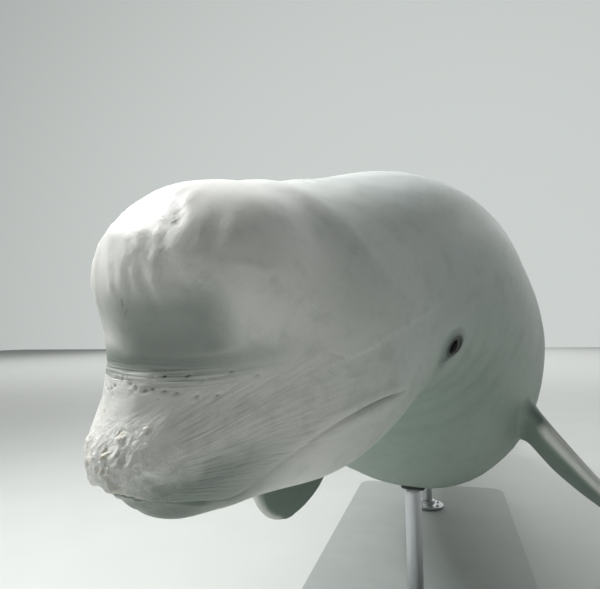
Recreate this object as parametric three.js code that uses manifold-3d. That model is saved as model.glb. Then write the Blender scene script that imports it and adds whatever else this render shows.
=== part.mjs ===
// A beluga whale, whole and life-size, as a still display model on a stand.
// It rises to look ahead: the trunk slopes up to the chest and leans a little to the left,
// the neck nods the head level and turns it to the whale's right, and the tail trails level.
//
// Millimetres, +Z up. The head points along -X and the whale's left side is at -Y.
// The origin is the middle of the base's underside.
//
// The animal is first shaped straight. There x is the distance behind the tip of the snout,
// -y the distance to the whale's left and z the height over its long axis. Each cross-section
// is then carried, as one flat slice, to its place on a curved spine.
import * as THREE from "three";
import { ParametricGeometry } from "three/addons/geometries/ParametricGeometry.js";
import { mergeVertices } from "three/addons/utils/BufferGeometryUtils.js";
import Module from "manifold-3d";

// Gap that touching pieces keep, and how far a cutter is grown to leave it
const GAP = 0.3;
const CLEARANCE = 0.35;

// The trunk: half width, rise over the axis and drop under it, at distances behind the snout
const STATIONS = [
  { back: 220, half: 100, rise: 80, drop: 110 },
  { back: 340, half: 150, rise: 128, drop: 150 },
  { back: 460, half: 182, rise: 158, drop: 182 },
  { back: 600, half: 222, rise: 192, drop: 228 },
  { back: 780, half: 270, rise: 234, drop: 280 },
  { back: 1000, half: 315, rise: 272, drop: 322 },
  { back: 1320, half: 345, rise: 300, drop: 345 },
  { back: 1690, half: 345, rise: 308, drop: 345 },
  { back: 2060, half: 312, rise: 296, drop: 318 },
  { back: 2430, half: 245, rise: 262, drop: 262 },
  { back: 2790, half: 165, rise: 208, drop: 190 },
  { back: 3110, half: 98, rise: 150, drop: 130 },
  { back: 3370, half: 56, rise: 96, drop: 84 },
  { back: 3540, half: 30, rise: 42, drop: 38 },
  { back: 3640, half: 12, rise: 12, drop: 12 },
];
const TRUNK_ROUNDNESS = 2.15;

// The head's masses, as ellipsoids that flow into each other: place and half sizes
const CRANIUM = { back: 300, left: 0, up: 5, size: [198, 147, 150] };
const ROSTRUM = { back: 125, left: 0, up: -33, size: [123, 81, 53] };
const JAW = { back: 160, left: 0, up: -81, size: [118, 70, 31] };
const JOWL = { back: 255, left: 69, up: -70, size: [120, 59, 62] };
const BRIDGE = { back: 130, left: 0, up: 22, size: [80, 70, 45] };
const MELON = { back: 165, left: 0, up: 86, size: [101, 116, 98] };
const FLESH_FLOW = 0.045;
const BRIDGE_FLOW = 0.06;
const MELON_FLOW = { front: 0.08, rear: 0.03, from: 130, to: 260 };

// The head's skin is seen from this point on the axis, its rays fanned round a lowered pole
const HEAD_CENTRE = 300;
const POLE_TILT = -0.25;

// Mouth: heights of its line along the side of the head, from the snout's front to the corner
const MOUTH_LINE = [
  { back: -80, up: -45 },
  { back: 2, up: -47 },
  { back: 11, up: -56 },
  { back: 24, up: -64 },
  { back: 39, up: -72 },
  { back: 56, up: -82 },
  { back: 72, up: -88 },
  { back: 88, up: -84 },
  { back: 110, up: -70 },
  { back: 150, up: -57 },
  { back: 205, up: -57 },
  { back: 265, up: -69 },
];
const MOUTH_CORNER = 265;
const MOUTH_GROOVE = 4;
const LIP = { radius: 8, offset: 9, sink: 5, from: 30, full: 90 };
const THROAT = { back: 330, up: -260 };

// The melon's lower edge, which rises behind to just ahead of the blowhole
const MELON_CUT = [
  [-60, 44],
  [48, 42],
  [90, 30],
  [140, 20],
  [190, 20],
  [240, 52],
  [276, 110],
  [290, 190],
  [292, 320],
];

// Blowhole: one crescent across the crown, its horns forward, a little left of the middle
const BLOWHOLE = { back: 338, left: 8, half: 30, bow: 16, radius: 6 };

// Eyes, low on the side of the head behind the mouth's corner
const EYE = { back: 397, up: -69, radius: 16, bulge: 5.8 };
const LIDS = { long: 15.5, high: 12.5, radius: 4.4, lift: 1.2 };

// Where the body is parted behind the head, and the rings that each length is given
const LENGTHS = {
  neck: { from: 460, to: 660, rings: 7 },
  chest: { from: 660, to: 1300, rings: 8 },
  abdomen: { from: 1300, to: 2300, rings: 8 },
  tail_stock: { from: 2300, to: 3620, rings: 14 },
};

// The spine: nod and turn of the head through the neck, and the tail brought level
const NECK = { from: 340, to: 700, nod: 0.6465, turn: 0.3197 };
const TAIL = { from: 1300, to: 3100 };
const RISE = THREE.MathUtils.degToRad(14);
const LEAN = THREE.MathUtils.degToRad(8);
const ANCHOR = 1000;

// Flippers: one blade's sizes, and how each is held
const FLIPPER = { length: 450, chord: 256, thick: 52, sunk: 70, curl: 50 };
const FLIPPER_LEFT = { back: 960, left: 272, up: -140, droop: 0.7, sweep: 0.585, twist: -0.07 };
const FLIPPER_RIGHT = { back: 960, left: 272, up: -140, droop: 1.72, sweep: 0.715, twist: -0.88 };

// Flukes: half span, leading edge, notch, and the bulge of the trailing edge
const FLUKE = {
  half: 432,
  root: 3425,
  sweep: 285,
  notch: 3662,
  tip: 3716,
  bulge: 92,
  rounding: 44,
  thick: 44,
  tipThick: 7,
  droop: 16,
};

// Low, notched ridge along the back, where other whales have a fin
const RIDGE = { from: 1640, to: 2230, half: 17, height: 22, sunk: 26, notches: 13, depth: 0.16 };

// Stand
const AXIS_HEIGHT = 800;
const WHALE_X = -640;
const BASE = { length: 1800, width: 700, height: 40, corner: 60, bevel: 5 };
const ROD = { radius: 22, front: -430, rear: 540 };
const FLANGE = { radius: 68, height: 12, hub: 33, hubHeight: 30 };

// How finely the skins are divided
const HEAD_SIDES = 52;
const BODY_SIDES = 36;
const CAP_RINGS = 22;
const FIN_SIDES = 16;

// Colours
const IVORY = { color: 0xdfe2da, roughness: 0.55, metalness: 0 };
const GREY = { color: 0xc9cdc6, roughness: 0.55, metalness: 0 };
const EYE_DARK = { color: 0x0b0a09, roughness: 0.15, metalness: 0 };
const STEEL = { color: 0x9a9da0, roughness: 0.35, metalness: 0.9 };
const BASE_GREY = { color: 0x3a3c3f, roughness: 0.6, metalness: 0 };

const wasm = await Module();
wasm.setup();

function smoothstep(from, to, x) {
  const t = THREE.MathUtils.clamp((x - from) / (to - from), 0, 1);
  return t * t * (3 - 2 * t);
}

// Curves through rows of sizes

function rowSlope(rows, i, key) {
  const before = rows[Math.max(i - 1, 0)];
  const after = rows[Math.min(i + 1, rows.length - 1)];
  return (after[key] - before[key]) / (after.back - before.back);
}

// One size at a distance behind the snout, on a smooth curve through the rows
function sizeAt(rows, back, key) {
  const last = rows.length - 1;
  const at = THREE.MathUtils.clamp(back, rows[0].back, rows[last].back);
  let i = 0;
  while (i < last - 1 && rows[i + 1].back < at) i += 1;
  const a = rows[i];
  const b = rows[i + 1];
  const h = b.back - a.back;
  const t = (at - a.back) / h;
  return (
    (2 * t ** 3 - 3 * t ** 2 + 1) * a[key] +
    (t ** 3 - 2 * t ** 2 + t) * h * rowSlope(rows, i, key) +
    (-2 * t ** 3 + 3 * t ** 2) * b[key] +
    (t ** 3 - t ** 2) * h * rowSlope(rows, i + 1, key)
  );
}

function trunkSize(back, key) {
  return sizeAt(STATIONS, back, key);
}

// Fields: about the distance outside a form, negative inside

function trunkField(back, left, up) {
  const half = trunkSize(back, "half");
  const tall = trunkSize(back, up > 0 ? "rise" : "drop");
  const n = TRUNK_ROUNDNESS;
  const reach = (Math.abs(left / half) ** n + Math.abs(up / tall) ** n) ** (1 / n);
  const outside = (reach - 1) * Math.min(half, tall);
  const ahead = STATIONS[0].back - back;
  return ahead > 0 ? Math.hypot(Math.max(outside, 0), ahead) : outside;
}

function ellipsoidField(form, back, left, up) {
  const [a, b, c] = form.size;
  const x = (back - form.back) / a;
  const y = (left - form.left) / b;
  const z = (up - form.up) / c;
  const k0 = Math.hypot(x, y, z) + 1e-9;
  const k1 = Math.hypot(x / a, y / b, z / c) + 1e-9;
  return (k0 * (k0 - 1)) / k1;
}

// Union of fields that flow into each other; a smaller flow makes a wider fillet
function flowing(flow, ...fields) {
  const least = Math.min(...fields);
  const sum = fields.reduce((total, f) => total + Math.exp(-flow * (f - least)), 0);
  return least - Math.log(sum) / flow;
}

function bodyField(back, left, up) {
  const side = Math.abs(left);
  const trunk = trunkField(back, left, up);
  if (back > 800) return trunk;
  const flesh = flowing(
    FLESH_FLOW,
    trunk,
    ellipsoidField(CRANIUM, back, left, up),
    ellipsoidField(JOWL, back, side, up),
    ellipsoidField(ROSTRUM, back, left, up),
    ellipsoidField(JAW, back, left, up),
  );
  const bridged = flowing(BRIDGE_FLOW, flesh, ellipsoidField(BRIDGE, back, left, up));
  const { front, rear, from, to } = MELON_FLOW;
  const melonFlow = front + (rear - front) * smoothstep(from, to, back);
  return flowing(melonFlow, bridged, ellipsoidField(MELON, back, left, up));
}

// Distance from a point to the skin along a direction, both in the straight frame
function reachSkin(origin, direction, farthest = 600) {
  let near = 0;
  let far = farthest;
  for (let i = 0; i < 26; i += 1) {
    const r = (near + far) / 2;
    const f = bodyField(
      origin.x + direction.x * r,
      -(origin.y + direction.y * r),
      origin.z + direction.z * r,
    );
    if (f < 0) near = r;
    else far = r;
  }
  return (near + far) / 2;
}

function skinPoint(origin, direction, grow = 0) {
  return origin.clone().addScaledVector(direction, reachSkin(origin, direction) + grow);
}

function skinNormal(point) {
  const e = 1;
  const f = (x, y, z) => bodyField(point.x + x, -(point.y + y), point.z + z);
  return new THREE.Vector3(
    f(e, 0, 0) - f(-e, 0, 0),
    f(0, e, 0) - f(0, -e, 0),
    f(0, 0, e) - f(0, 0, -e),
  ).normalize();
}

// The point of the skin on the whale's left (side 1) or right (side -1)
function flankPoint(back, up, side) {
  return skinPoint(new THREE.Vector3(back, 0, up), new THREE.Vector3(0, -side, 0));
}

// Spine

function spineAngles(back) {
  const neck = 1 - smoothstep(NECK.from, NECK.to, back);
  const tail = smoothstep(TAIL.from, TAIL.to, back);
  return { climb: NECK.nod * neck + RISE * tail, turn: NECK.turn * neck };
}

function spineTangent(back) {
  const { climb, turn } = spineAngles(back);
  return new THREE.Vector3(
    Math.cos(climb) * Math.cos(turn),
    -Math.cos(climb) * Math.sin(turn),
    Math.sin(climb),
  );
}

const SPINE_STEP = 5;
const SPINE_START = -100;
const SPINE_COUNT = 800;
const SPINE = (() => {
  const points = [new THREE.Vector3()];
  for (let i = 1; i < SPINE_COUNT; i += 1) {
    const middle = SPINE_START + (i - 0.5) * SPINE_STEP;
    points.push(points[i - 1].clone().addScaledVector(spineTangent(middle), SPINE_STEP));
  }
  const anchor = points[(ANCHOR - SPINE_START) / SPINE_STEP].clone();
  return points.map((p) => p.sub(anchor));
})();

// Carries a point of the straight frame to its place on the curved spine
function posed(point) {
  const at = (point.x - SPINE_START) / SPINE_STEP;
  const i = THREE.MathUtils.clamp(Math.floor(at), 0, SPINE_COUNT - 2);
  const centre = SPINE[i].clone().lerp(SPINE[i + 1], at - i);
  const tangent = spineTangent(point.x);
  const left = new THREE.Vector3(tangent.y, -tangent.x, 0).normalize();
  const up = new THREE.Vector3().crossVectors(left, tangent);
  return centre.addScaledVector(left, -point.y).addScaledVector(up, point.z);
}

function posedGeometry(geometry) {
  const result = geometry.clone();
  const place = result.getAttribute("position");
  const p = new THREE.Vector3();
  for (let i = 0; i < place.count; i += 1) {
    const q = posed(p.fromBufferAttribute(place, i));
    place.setXYZ(i, q.x, q.y, q.z);
  }
  return result;
}

// Solids

// One closed surface, its vertices merged, its empty triangles dropped, its faces pointing out
function closed(geometry) {
  const bare = geometry.clone();
  bare.deleteAttribute("normal");
  bare.deleteAttribute("uv");
  const merged = mergeVertices(bare, 1e-3);
  const place = merged.getAttribute("position");
  const [a, b, c] = [new THREE.Vector3(), new THREE.Vector3(), new THREE.Vector3()];
  const kept = [];
  let volume = 0;
  for (let i = 0; i < merged.index.count; i += 3) {
    const [p, q, r] = [0, 1, 2].map((k) => merged.index.getX(i + k));
    if (p === q || q === r || r === p) continue;
    kept.push(p, q, r);
    a.fromBufferAttribute(place, p);
    b.fromBufferAttribute(place, q);
    c.fromBufferAttribute(place, r);
    volume += a.dot(b.cross(c));
  }
  if (volume < 0) kept.reverse();
  merged.setIndex(kept);
  return merged;
}

function solid(geometry) {
  const body = closed(geometry);
  return new wasm.Manifold(
    new wasm.Mesh({
      numProp: 3,
      vertProperties: new Float32Array(body.getAttribute("position").array),
      triVerts: new Uint32Array(body.index.array),
    }),
  );
}

// The largest closed surface of a solid, as a geometry
function geometryOf(form) {
  const parts = form.decompose();
  const largest = parts.reduce((best, next) => (next.volume() > best.volume() ? next : best));
  const mesh = largest.getMesh();
  const geometry = new THREE.BufferGeometry();
  geometry.setAttribute("position", new THREE.BufferAttribute(mesh.vertProperties, 3));
  geometry.setIndex(new THREE.BufferAttribute(mesh.triVerts, 1));
  return geometry;
}

// A closed skin from rings of points: ring 0 and the last ring are single points
function ringSkin(rings, sides, pointAt) {
  const place = (a, b, target) => {
    target.copy(pointAt(Math.round(a * rings), b * 2 * Math.PI));
  };
  return new ParametricGeometry(place, rings, sides);
}

// A length of the body between two flat cuts, on the spine. Grown, it is the cutter that
// leaves the clearance between the length and what stands on it.
function bodyLength(name, grow = 0) {
  const { from, to, rings } = LENGTHS[name];
  const inset = GAP / 2 - grow;
  const skin = ringSkin(rings + 2, BODY_SIDES, (ring, angle) => {
    const t = THREE.MathUtils.clamp((ring - 1) / rings, 0, 1);
    const centre = new THREE.Vector3(from + inset + (to - from - 2 * inset) * t, 0, 0);
    if (ring === 0 || ring === rings + 2) return centre;
    const direction = new THREE.Vector3(0, -Math.sin(angle), Math.cos(angle));
    return skinPoint(centre, direction, grow);
  });
  return posedGeometry(closed(skin));
}

function cutter(name) {
  return solid(bodyLength(name, CLEARANCE));
}

// The head's skin: a fan of rings round the pole, then rings that turn upright by the cut
function headSkin() {
  const rings = CAP_RINGS + 6;
  return ringSkin(rings + 1, HEAD_SIDES, (ring, angle) => {
    if (ring > rings) return new THREE.Vector3(LENGTHS.neck.from, 0, 0);
    const past = Math.max(ring - CAP_RINGS, 0) / (rings - CAP_RINGS);
    const spread = (Math.min(ring / CAP_RINGS, 1) * Math.PI) / 2;
    const tilt = POLE_TILT * (1 - past);
    const centre = new THREE.Vector3(HEAD_CENTRE + (LENGTHS.neck.from - HEAD_CENTRE) * past, 0, 0);
    const pole = new THREE.Vector3(-Math.cos(tilt), 0, Math.sin(tilt));
    const upward = new THREE.Vector3(Math.sin(tilt), 0, Math.cos(tilt));
    const direction = pole
      .multiplyScalar(Math.cos(spread))
      .addScaledVector(upward, Math.sin(spread) * Math.cos(angle));
    direction.y = -Math.sin(spread) * Math.sin(angle);
    return skinPoint(centre, direction);
  });
}

// A round bar along a path, its radius given along it, standing in the frame that an
// outward direction gives. A closed path joins up; an open one runs out to points.
function bar(path, outwardAt, radiusAt, steps, sides, joined = false) {
  const rings = steps;
  return ringSkin(rings, sides, (ring, angle) => {
    const t = ring / rings;
    const wrapped = joined ? t % 1 : t;
    const here = path(wrapped);
    const e = 1e-3;
    const ahead = path(joined ? (t + e) % 1 : Math.min(t + e, 1));
    const behind = path(joined ? (t - e + 1) % 1 : Math.max(t - e, 0));
    const tangent = ahead.sub(behind).normalize();
    const out = outwardAt(wrapped);
    out.addScaledVector(tangent, -out.dot(tangent)).normalize();
    const across = new THREE.Vector3().crossVectors(tangent, out);
    const r = radiusAt(t);
    return here
      .addScaledVector(out, r * Math.cos(angle))
      .addScaledVector(across, r * Math.sin(angle));
  });
}

// Mouth

function mouthHeight(back) {
  return sizeAt(MOUTH_LINE, back, "up");
}

// A point of the mouth line on the skin, from the right corner (0) round to the left one (1)
const MOUTH_HUB = 200;
const MOUTH_SWING = 1.99;
function mouthPoint(t, lift = 0) {
  const swing = MOUTH_SWING * (2 * t - 1);
  let near = 0;
  let far = 300;
  const at = (r) => {
    const back = MOUTH_HUB - r * Math.cos(swing);
    return new THREE.Vector3(back, -r * Math.sin(swing), mouthHeight(back) + lift);
  };
  for (let i = 0; i < 24; i += 1) {
    const r = (near + far) / 2;
    const p = at(r);
    if (bodyField(p.x, -p.y, p.z) < 0) near = r;
    else far = r;
  }
  return at((near + far) / 2);
}

function lipBar(lift) {
  const path = (t) => {
    const p = mouthPoint(0.03 + 0.94 * t, lift);
    return p.addScaledVector(skinNormal(p), -LIP.sink);
  };
  const outward = (t) => skinNormal(mouthPoint(0.03 + 0.94 * t, lift));
  const radius = (t) => {
    const { x } = mouthPoint(0.03 + 0.94 * t);
    const share = 0.5 + 0.5 * THREE.MathUtils.smoothstep(x, LIP.from, LIP.full);
    return share * LIP.radius * Math.min(1, Math.sin(Math.PI * t) * 2.2);
  };
  return bar(path, outward, radius, 24, 6);
}

function mouthGroove() {
  const outward = (t) => skinNormal(mouthPoint(t));
  const radius = (t) => MOUTH_GROOVE * Math.min(1, Math.sin(Math.PI * t) * 6);
  return bar((t) => mouthPoint(t), outward, radius, 28, 5);
}

// A slab right across the head whose outline, in the plane of symmetry, is given
function acrossHead(outline) {
  const width = 700;
  const shape = new THREE.Shape(outline.map(([back, up]) => new THREE.Vector2(back, up)));
  const slab = new THREE.ExtrudeGeometry(shape, { depth: width, bevelEnabled: false });
  return slab.rotateX(Math.PI / 2).translate(0, width / 2, 0);
}

function jawSlab(shift) {
  const outline = [[-80, THROAT.up]];
  const steps = 16;
  for (let i = 0; i <= steps; i += 1) {
    const back = -80 + ((MOUTH_CORNER + 80) * i) / steps;
    outline.push([back + (i === steps ? shift : 0), mouthHeight(back) + shift]);
  }
  outline.push([THROAT.back + shift, THROAT.up]);
  return acrossHead(outline);
}

function melonSlab(shift) {
  const curve = new THREE.SplineCurve(MELON_CUT.map(([x, y]) => new THREE.Vector2(x, y)));
  const outline = curve.getPoints(18).map((p) => [p.x + shift, p.y - shift]);
  outline.push([-60 + shift, 320]);
  return acrossHead(outline);
}

// Blowhole

function blowholeGroove() {
  const point = (t) => {
    const u = (2 * t - 1) * BLOWHOLE.half;
    const back = BLOWHOLE.back - BLOWHOLE.bow * (u / BLOWHOLE.half) ** 2;
    const origin = new THREE.Vector3(back, -(u + BLOWHOLE.left), 0);
    return skinPoint(origin, new THREE.Vector3(0, 0, 1));
  };
  const radius = (t) => BLOWHOLE.radius * Math.sqrt(Math.sin(Math.PI * t));
  return bar(point, (t) => skinNormal(point(t)), radius, 10, 6);
}

// Eyes

function eyeFrame(side) {
  const skin = flankPoint(EYE.back, EYE.up, side);
  const out = skinNormal(skin);
  const up = new THREE.Vector3(0, 0, 1).addScaledVector(out, -out.z).normalize();
  const along = new THREE.Vector3().crossVectors(up, out);
  const centre = skin.clone().addScaledVector(out, EYE.bulge - EYE.radius);
  return { skin, out, up, along, centre };
}

function eyeball(side, grow = 0) {
  const { centre } = eyeFrame(side);
  return new THREE.SphereGeometry(EYE.radius + grow, 16, 10).translate(...centre);
}

function lidRing(side) {
  const { out, up, along, skin } = eyeFrame(side);
  const path = (t) => {
    const a = 2 * Math.PI * t;
    const point = skin
      .clone()
      .addScaledVector(along, LIDS.long * Math.cos(a))
      .addScaledVector(up, LIDS.high * Math.sin(a));
    const inward = out.clone().negate();
    const above = point.clone().addScaledVector(out, 60);
    let near = 0;
    let far = 120;
    for (let i = 0; i < 20; i += 1) {
      const r = (near + far) / 2;
      const p = above.clone().addScaledVector(inward, r);
      if (bodyField(p.x, -p.y, p.z) > 0) near = r;
      else far = r;
    }
    return above.addScaledVector(inward, near - LIDS.lift);
  };
  const radius = () => LIDS.radius;
  return bar(path, () => out.clone(), radius, 16, 5, true);
}

// Head pieces

function headPieces() {
  let whole = solid(headSkin());
  for (const lift of [LIP.offset, -LIP.offset]) whole = whole.add(solid(lipBar(lift)));
  for (const side of [1, -1]) {
    whole = whole.add(solid(lidRing(side)));
    whole = whole.subtract(solid(eyeball(side, CLEARANCE)));
  }
  whole = whole.subtract(solid(mouthGroove())).subtract(solid(blowholeGroove()));
  const lower_jaw = whole.intersect(solid(jawSlab(-GAP / 2)));
  const upper = whole.subtract(solid(jawSlab(GAP / 2)));
  const melon = upper.intersect(solid(melonSlab(-GAP / 2)));
  const head = upper.subtract(solid(melonSlab(GAP / 2)));
  return { head, melon, lower_jaw };
}

// Fins

// A blade along a span: centre line, chord, thickness and the directions of its section
function blade(rings, sides, sectionAt, capped) {
  const last = rings + 2;
  return ringSkin(last, sides, (ring, angle) => {
    const t = THREE.MathUtils.clamp((ring - 1) / rings, 0, 1);
    const { centre, chord, thick, along, over } = sectionAt(t);
    if (ring === 0 || ring === last) return centre;
    const small = capped ? 1 : 0;
    const forward = -Math.cos(angle);
    const full = 1 + 0.35 * forward;
    return centre
      .addScaledVector(along, (-forward * Math.max(chord, small)) / 2)
      .addScaledVector(over, (Math.sin(angle) * full * Math.max(thick, small)) / 2);
  });
}

// A flipper: a broad paddle, narrower at the wrist, its rounded tip curled up
function flipperBlade(hold, side) {
  const { length, chord, thick, sunk, curl } = FLIPPER;
  const root = posed(new THREE.Vector3(hold.back, -hold.left * side, hold.up));
  const out = new THREE.Vector3(0, -side * Math.cos(hold.droop), -Math.sin(hold.droop));
  const span = out.clone().multiplyScalar(Math.cos(hold.sweep));
  span.x += Math.sin(hold.sweep);
  const over = new THREE.Vector3(0, -side * Math.sin(hold.droop), Math.cos(hold.droop));
  const back = new THREE.Vector3(Math.cos(hold.sweep), 0, 0);
  back.addScaledVector(out, -Math.sin(hold.sweep));
  return blade(14, FIN_SIDES, (t) => {
    const twist = hold.twist * Math.min(1.5 * t, 1);
    const along = back.clone().multiplyScalar(Math.cos(twist));
    along.addScaledVector(over, Math.sin(twist));
    const face = over.clone().multiplyScalar(Math.cos(twist));
    face.addScaledVector(back, -Math.sin(twist));
    const broad = Math.min(0.62 + 0.75 * t - 0.25 * t * t, 1);
    const rounding = t > 0.55 ? Math.sqrt(Math.max(1 - ((t - 0.55) / 0.45) ** 2, 0)) : 1;
    const centre = root.clone().addScaledVector(span, (length + sunk) * t - sunk);
    centre.addScaledVector(over, curl * t ** 3);
    return {
      centre,
      chord: chord * broad * Math.max(rounding, 0.12),
      thick: Math.max(thick * (1 - 0.72 * t), 7) * Math.max(rounding ** 0.5, 0.5),
      along,
      over: face,
    };
  });
}

// One side of the flukes: leading edge swept back, trailing edge bulging behind the notch
function flukeBlade(side) {
  const along = new THREE.Vector3(1, 0, 0);
  const over = new THREE.Vector3(0, 0, 1);
  return blade(14, FIN_SIDES, (t) => {
    const span = Math.max(FLUKE.half * Math.sin((t * Math.PI) / 2) ** 0.9, GAP / 2);
    const s = span / FLUKE.half;
    const round = 1 - Math.sqrt(1 - Math.min(s, 1) ** 2);
    const leading = FLUKE.root + FLUKE.sweep * (0.7 * s ** 1.35 + 0.3 * round);
    const level = FLUKE.notch + (FLUKE.tip + FLUKE.rounding - FLUKE.notch) * s;
    const bulge = FLUKE.bulge * Math.sin(Math.PI * s ** 0.7);
    const trailing = level + bulge - FLUKE.rounding * round;
    const chord = Math.max(trailing - leading, 12);
    return {
      centre: new THREE.Vector3(leading + chord / 2, -side * span, -FLUKE.droop * s * s),
      chord,
      thick: FLUKE.tipThick + (FLUKE.thick - FLUKE.tipThick) * (1 - s) ** 0.8,
      along,
      over,
    };
  });
}

// The ridge: a low bar along the midline of the back, its top notched
function ridgeBar() {
  const rings = 39;
  return ringSkin(rings, 6, (ring, angle) => {
    const t = ring / rings;
    const back = RIDGE.from + (RIDGE.to - RIDGE.from) * t;
    const ease = Math.sin(Math.PI * t) ** 0.6;
    const notch = 1 + RIDGE.depth * Math.sin(2 * Math.PI * RIDGE.notches * t);
    const top = trunkSize(back, "rise");
    const reach = RIDGE.sunk + RIDGE.height * ease * notch;
    const centre = new THREE.Vector3(back, 0, top - RIDGE.sunk);
    centre.y = -RIDGE.half * ease * Math.sin(angle);
    centre.z += (Math.cos(angle) > 0 ? reach : RIDGE.sunk) * ease * Math.cos(angle);
    return centre;
  });
}

// Placing the whale: its own group, lifted, sloped and leaned over the base

const whale = new THREE.Group();
whale.rotation.set(LEAN, RISE, 0, "YXZ");
whale.position.set(WHALE_X, 0, AXIS_HEIGHT);
whale.updateMatrix();

function named(name, geometry, finish, place = [0, 0, 0]) {
  const mesh = new THREE.Mesh(geometry, new THREE.MeshStandardMaterial({ ...finish }));
  mesh.geometry.computeVertexNormals();
  mesh.name = name;
  mesh.position.set(...place);
  return mesh;
}

function bodyMeshes() {
  const pieces = Object.entries(headPieces()).map(([name, form]) =>
    named(name, posedGeometry(geometryOf(form)), IVORY),
  );
  for (const name of Object.keys(LENGTHS)) {
    pieces.push(named(name, bodyLength(name), IVORY));
  }
  for (const [name, side] of [["eye_left", 1], ["eye_right", -1]]) {
    pieces.push(named(name, posedGeometry(closed(eyeball(side))), EYE_DARK));
  }
  return pieces;
}

function finMeshes() {
  const chest = cutter("chest");
  const stock = cutter("tail_stock");
  const back = cutter("abdomen");
  const fins = [
    ["flipper_left", flipperBlade(FLIPPER_LEFT, 1), chest],
    ["flipper_right", flipperBlade(FLIPPER_RIGHT, -1), chest],
    ["fluke_left", posedGeometry(flukeBlade(1)), stock],
    ["fluke_right", posedGeometry(flukeBlade(-1)), stock],
    ["dorsal_ridge", posedGeometry(ridgeBar()), back],
  ];
  return fins.map(([name, blank, body]) =>
    named(name, geometryOf(solid(blank).subtract(body)), GREY),
  );
}

// Stand

function baseSlab() {
  const { length, width, height, corner, bevel } = BASE;
  const [x, y] = [length / 2 - bevel, width / 2 - bevel];
  const shape = new THREE.Shape();
  shape.moveTo(-x + corner, -y);
  shape.lineTo(x - corner, -y);
  shape.absarc(x - corner, -y + corner, corner, -Math.PI / 2, 0);
  shape.absarc(x - corner, y - corner, corner, 0, Math.PI / 2);
  shape.absarc(-x + corner, y - corner, corner, Math.PI / 2, Math.PI);
  shape.absarc(-x + corner, -y + corner, corner, Math.PI, 1.5 * Math.PI);
  return new THREE.ExtrudeGeometry(shape, {
    depth: height - 2 * bevel,
    bevelThickness: bevel,
    bevelSize: bevel,
    bevelSegments: 1,
    curveSegments: 4,
  }).translate(0, 0, bevel);
}

function flangeRing() {
  const { radius, height, hub, hubHeight } = FLANGE;
  const bore = ROD.radius + GAP;
  const profile = [
    [bore, 0],
    [radius, 0],
    [radius, height - 3],
    [radius - 3, height],
    [hub + 4, height],
    [hub, height + 4],
    [hub, hubHeight],
    [bore, hubHeight],
    [bore, 0],
  ];
  return new THREE.LatheGeometry(profile.map(([r, z]) => new THREE.Vector2(r, z)), 24).rotateX(
    Math.PI / 2,
  );
}

function standMeshes() {
  const meshes = [named("stand_base", closed(baseSlab()), BASE_GREY)];
  const belly = ["chest", "abdomen"]
    .map((name) => solid(bodyLength(name, CLEARANCE).applyMatrix4(whale.matrix)))
    .reduce((all, next) => all.add(next));
  const foot = BASE.height + GAP;
  for (const [end, x] of [["front", ROD.front], ["rear", ROD.rear]]) {
    const height = AXIS_HEIGHT - foot;
    const rod = new THREE.CylinderGeometry(ROD.radius, ROD.radius, height, 28);
    rod.rotateX(Math.PI / 2).translate(x, 0, foot + height / 2);
    const form = solid(rod).subtract(belly);
    const lowest = form
      .decompose()
      .reduce((a, b) => (a.boundingBox().min[2] < b.boundingBox().min[2] ? a : b));
    meshes.push(named(`stand_rod_${end}`, geometryOf(lowest), STEEL));
    meshes.push(named(`stand_flange_${end}`, closed(flangeRing()), STEEL, [x, 0, foot]));
  }
  return meshes;
}

whale.add(...bodyMeshes(), ...finMeshes());
const model = new THREE.Group();
model.add(whale, ...standMeshes());

export default model;
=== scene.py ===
"""A beluga whale as a still, life-size display model on a plain stand.

The whale is shaped straight, in its own coordinates: the distance behind the tip of the snout,
the distance to its left and the height over its long axis, all in metres. The finished skin is
then carried onto a curved spine and set over the stand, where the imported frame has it.
"""

import itertools
import logging
import math
from dataclasses import dataclass
from enum import Enum
from typing import Any, Callable, Sequence, Union

import bmesh
import bpy
import numpy as np
from bpy.types import Material, Mesh, Node, NodeTree, Object
from mathutils import Matrix, Vector
from mathutils.bvhtree import BVHTree
from mathutils.kdtree import KDTree


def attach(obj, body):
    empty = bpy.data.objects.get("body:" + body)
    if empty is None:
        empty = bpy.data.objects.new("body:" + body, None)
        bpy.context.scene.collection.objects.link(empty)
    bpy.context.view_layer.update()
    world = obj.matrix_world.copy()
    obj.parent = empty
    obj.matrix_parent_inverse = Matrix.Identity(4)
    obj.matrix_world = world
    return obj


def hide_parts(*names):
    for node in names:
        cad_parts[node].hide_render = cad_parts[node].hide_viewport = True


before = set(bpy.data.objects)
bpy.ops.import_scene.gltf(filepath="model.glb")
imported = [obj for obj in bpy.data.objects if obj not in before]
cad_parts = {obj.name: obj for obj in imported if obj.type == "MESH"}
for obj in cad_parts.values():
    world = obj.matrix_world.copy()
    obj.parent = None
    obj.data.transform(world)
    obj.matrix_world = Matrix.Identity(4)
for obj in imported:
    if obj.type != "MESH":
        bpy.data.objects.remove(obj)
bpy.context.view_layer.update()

logging.basicConfig(level=logging.INFO, format="%(message)s")
log = logging.getLogger("beluga")

Array = np.ndarray
Span = tuple[float, float]
Place = tuple[float, float, float]
Colour = tuple[float, float, float, float]
Rows = tuple[tuple[float, ...], ...]

ROOT = "root"
UP: Place = (0.0, 0.0, 1.0)
DOWN: Place = (0.0, 0.0, -1.0)
FORWARD: Place = (-1.0, 0.0, 0.0)
BACKWARD: Place = (1.0, 0.0, 0.0)
# How often a span is halved to place a point on the skin
HALVINGS = 24
# The distance of points that a trace doesn't measure
FAR = 10.0
# Heights that differ by less are level
LEVEL = 1e-6


# Curves and noise


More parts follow.
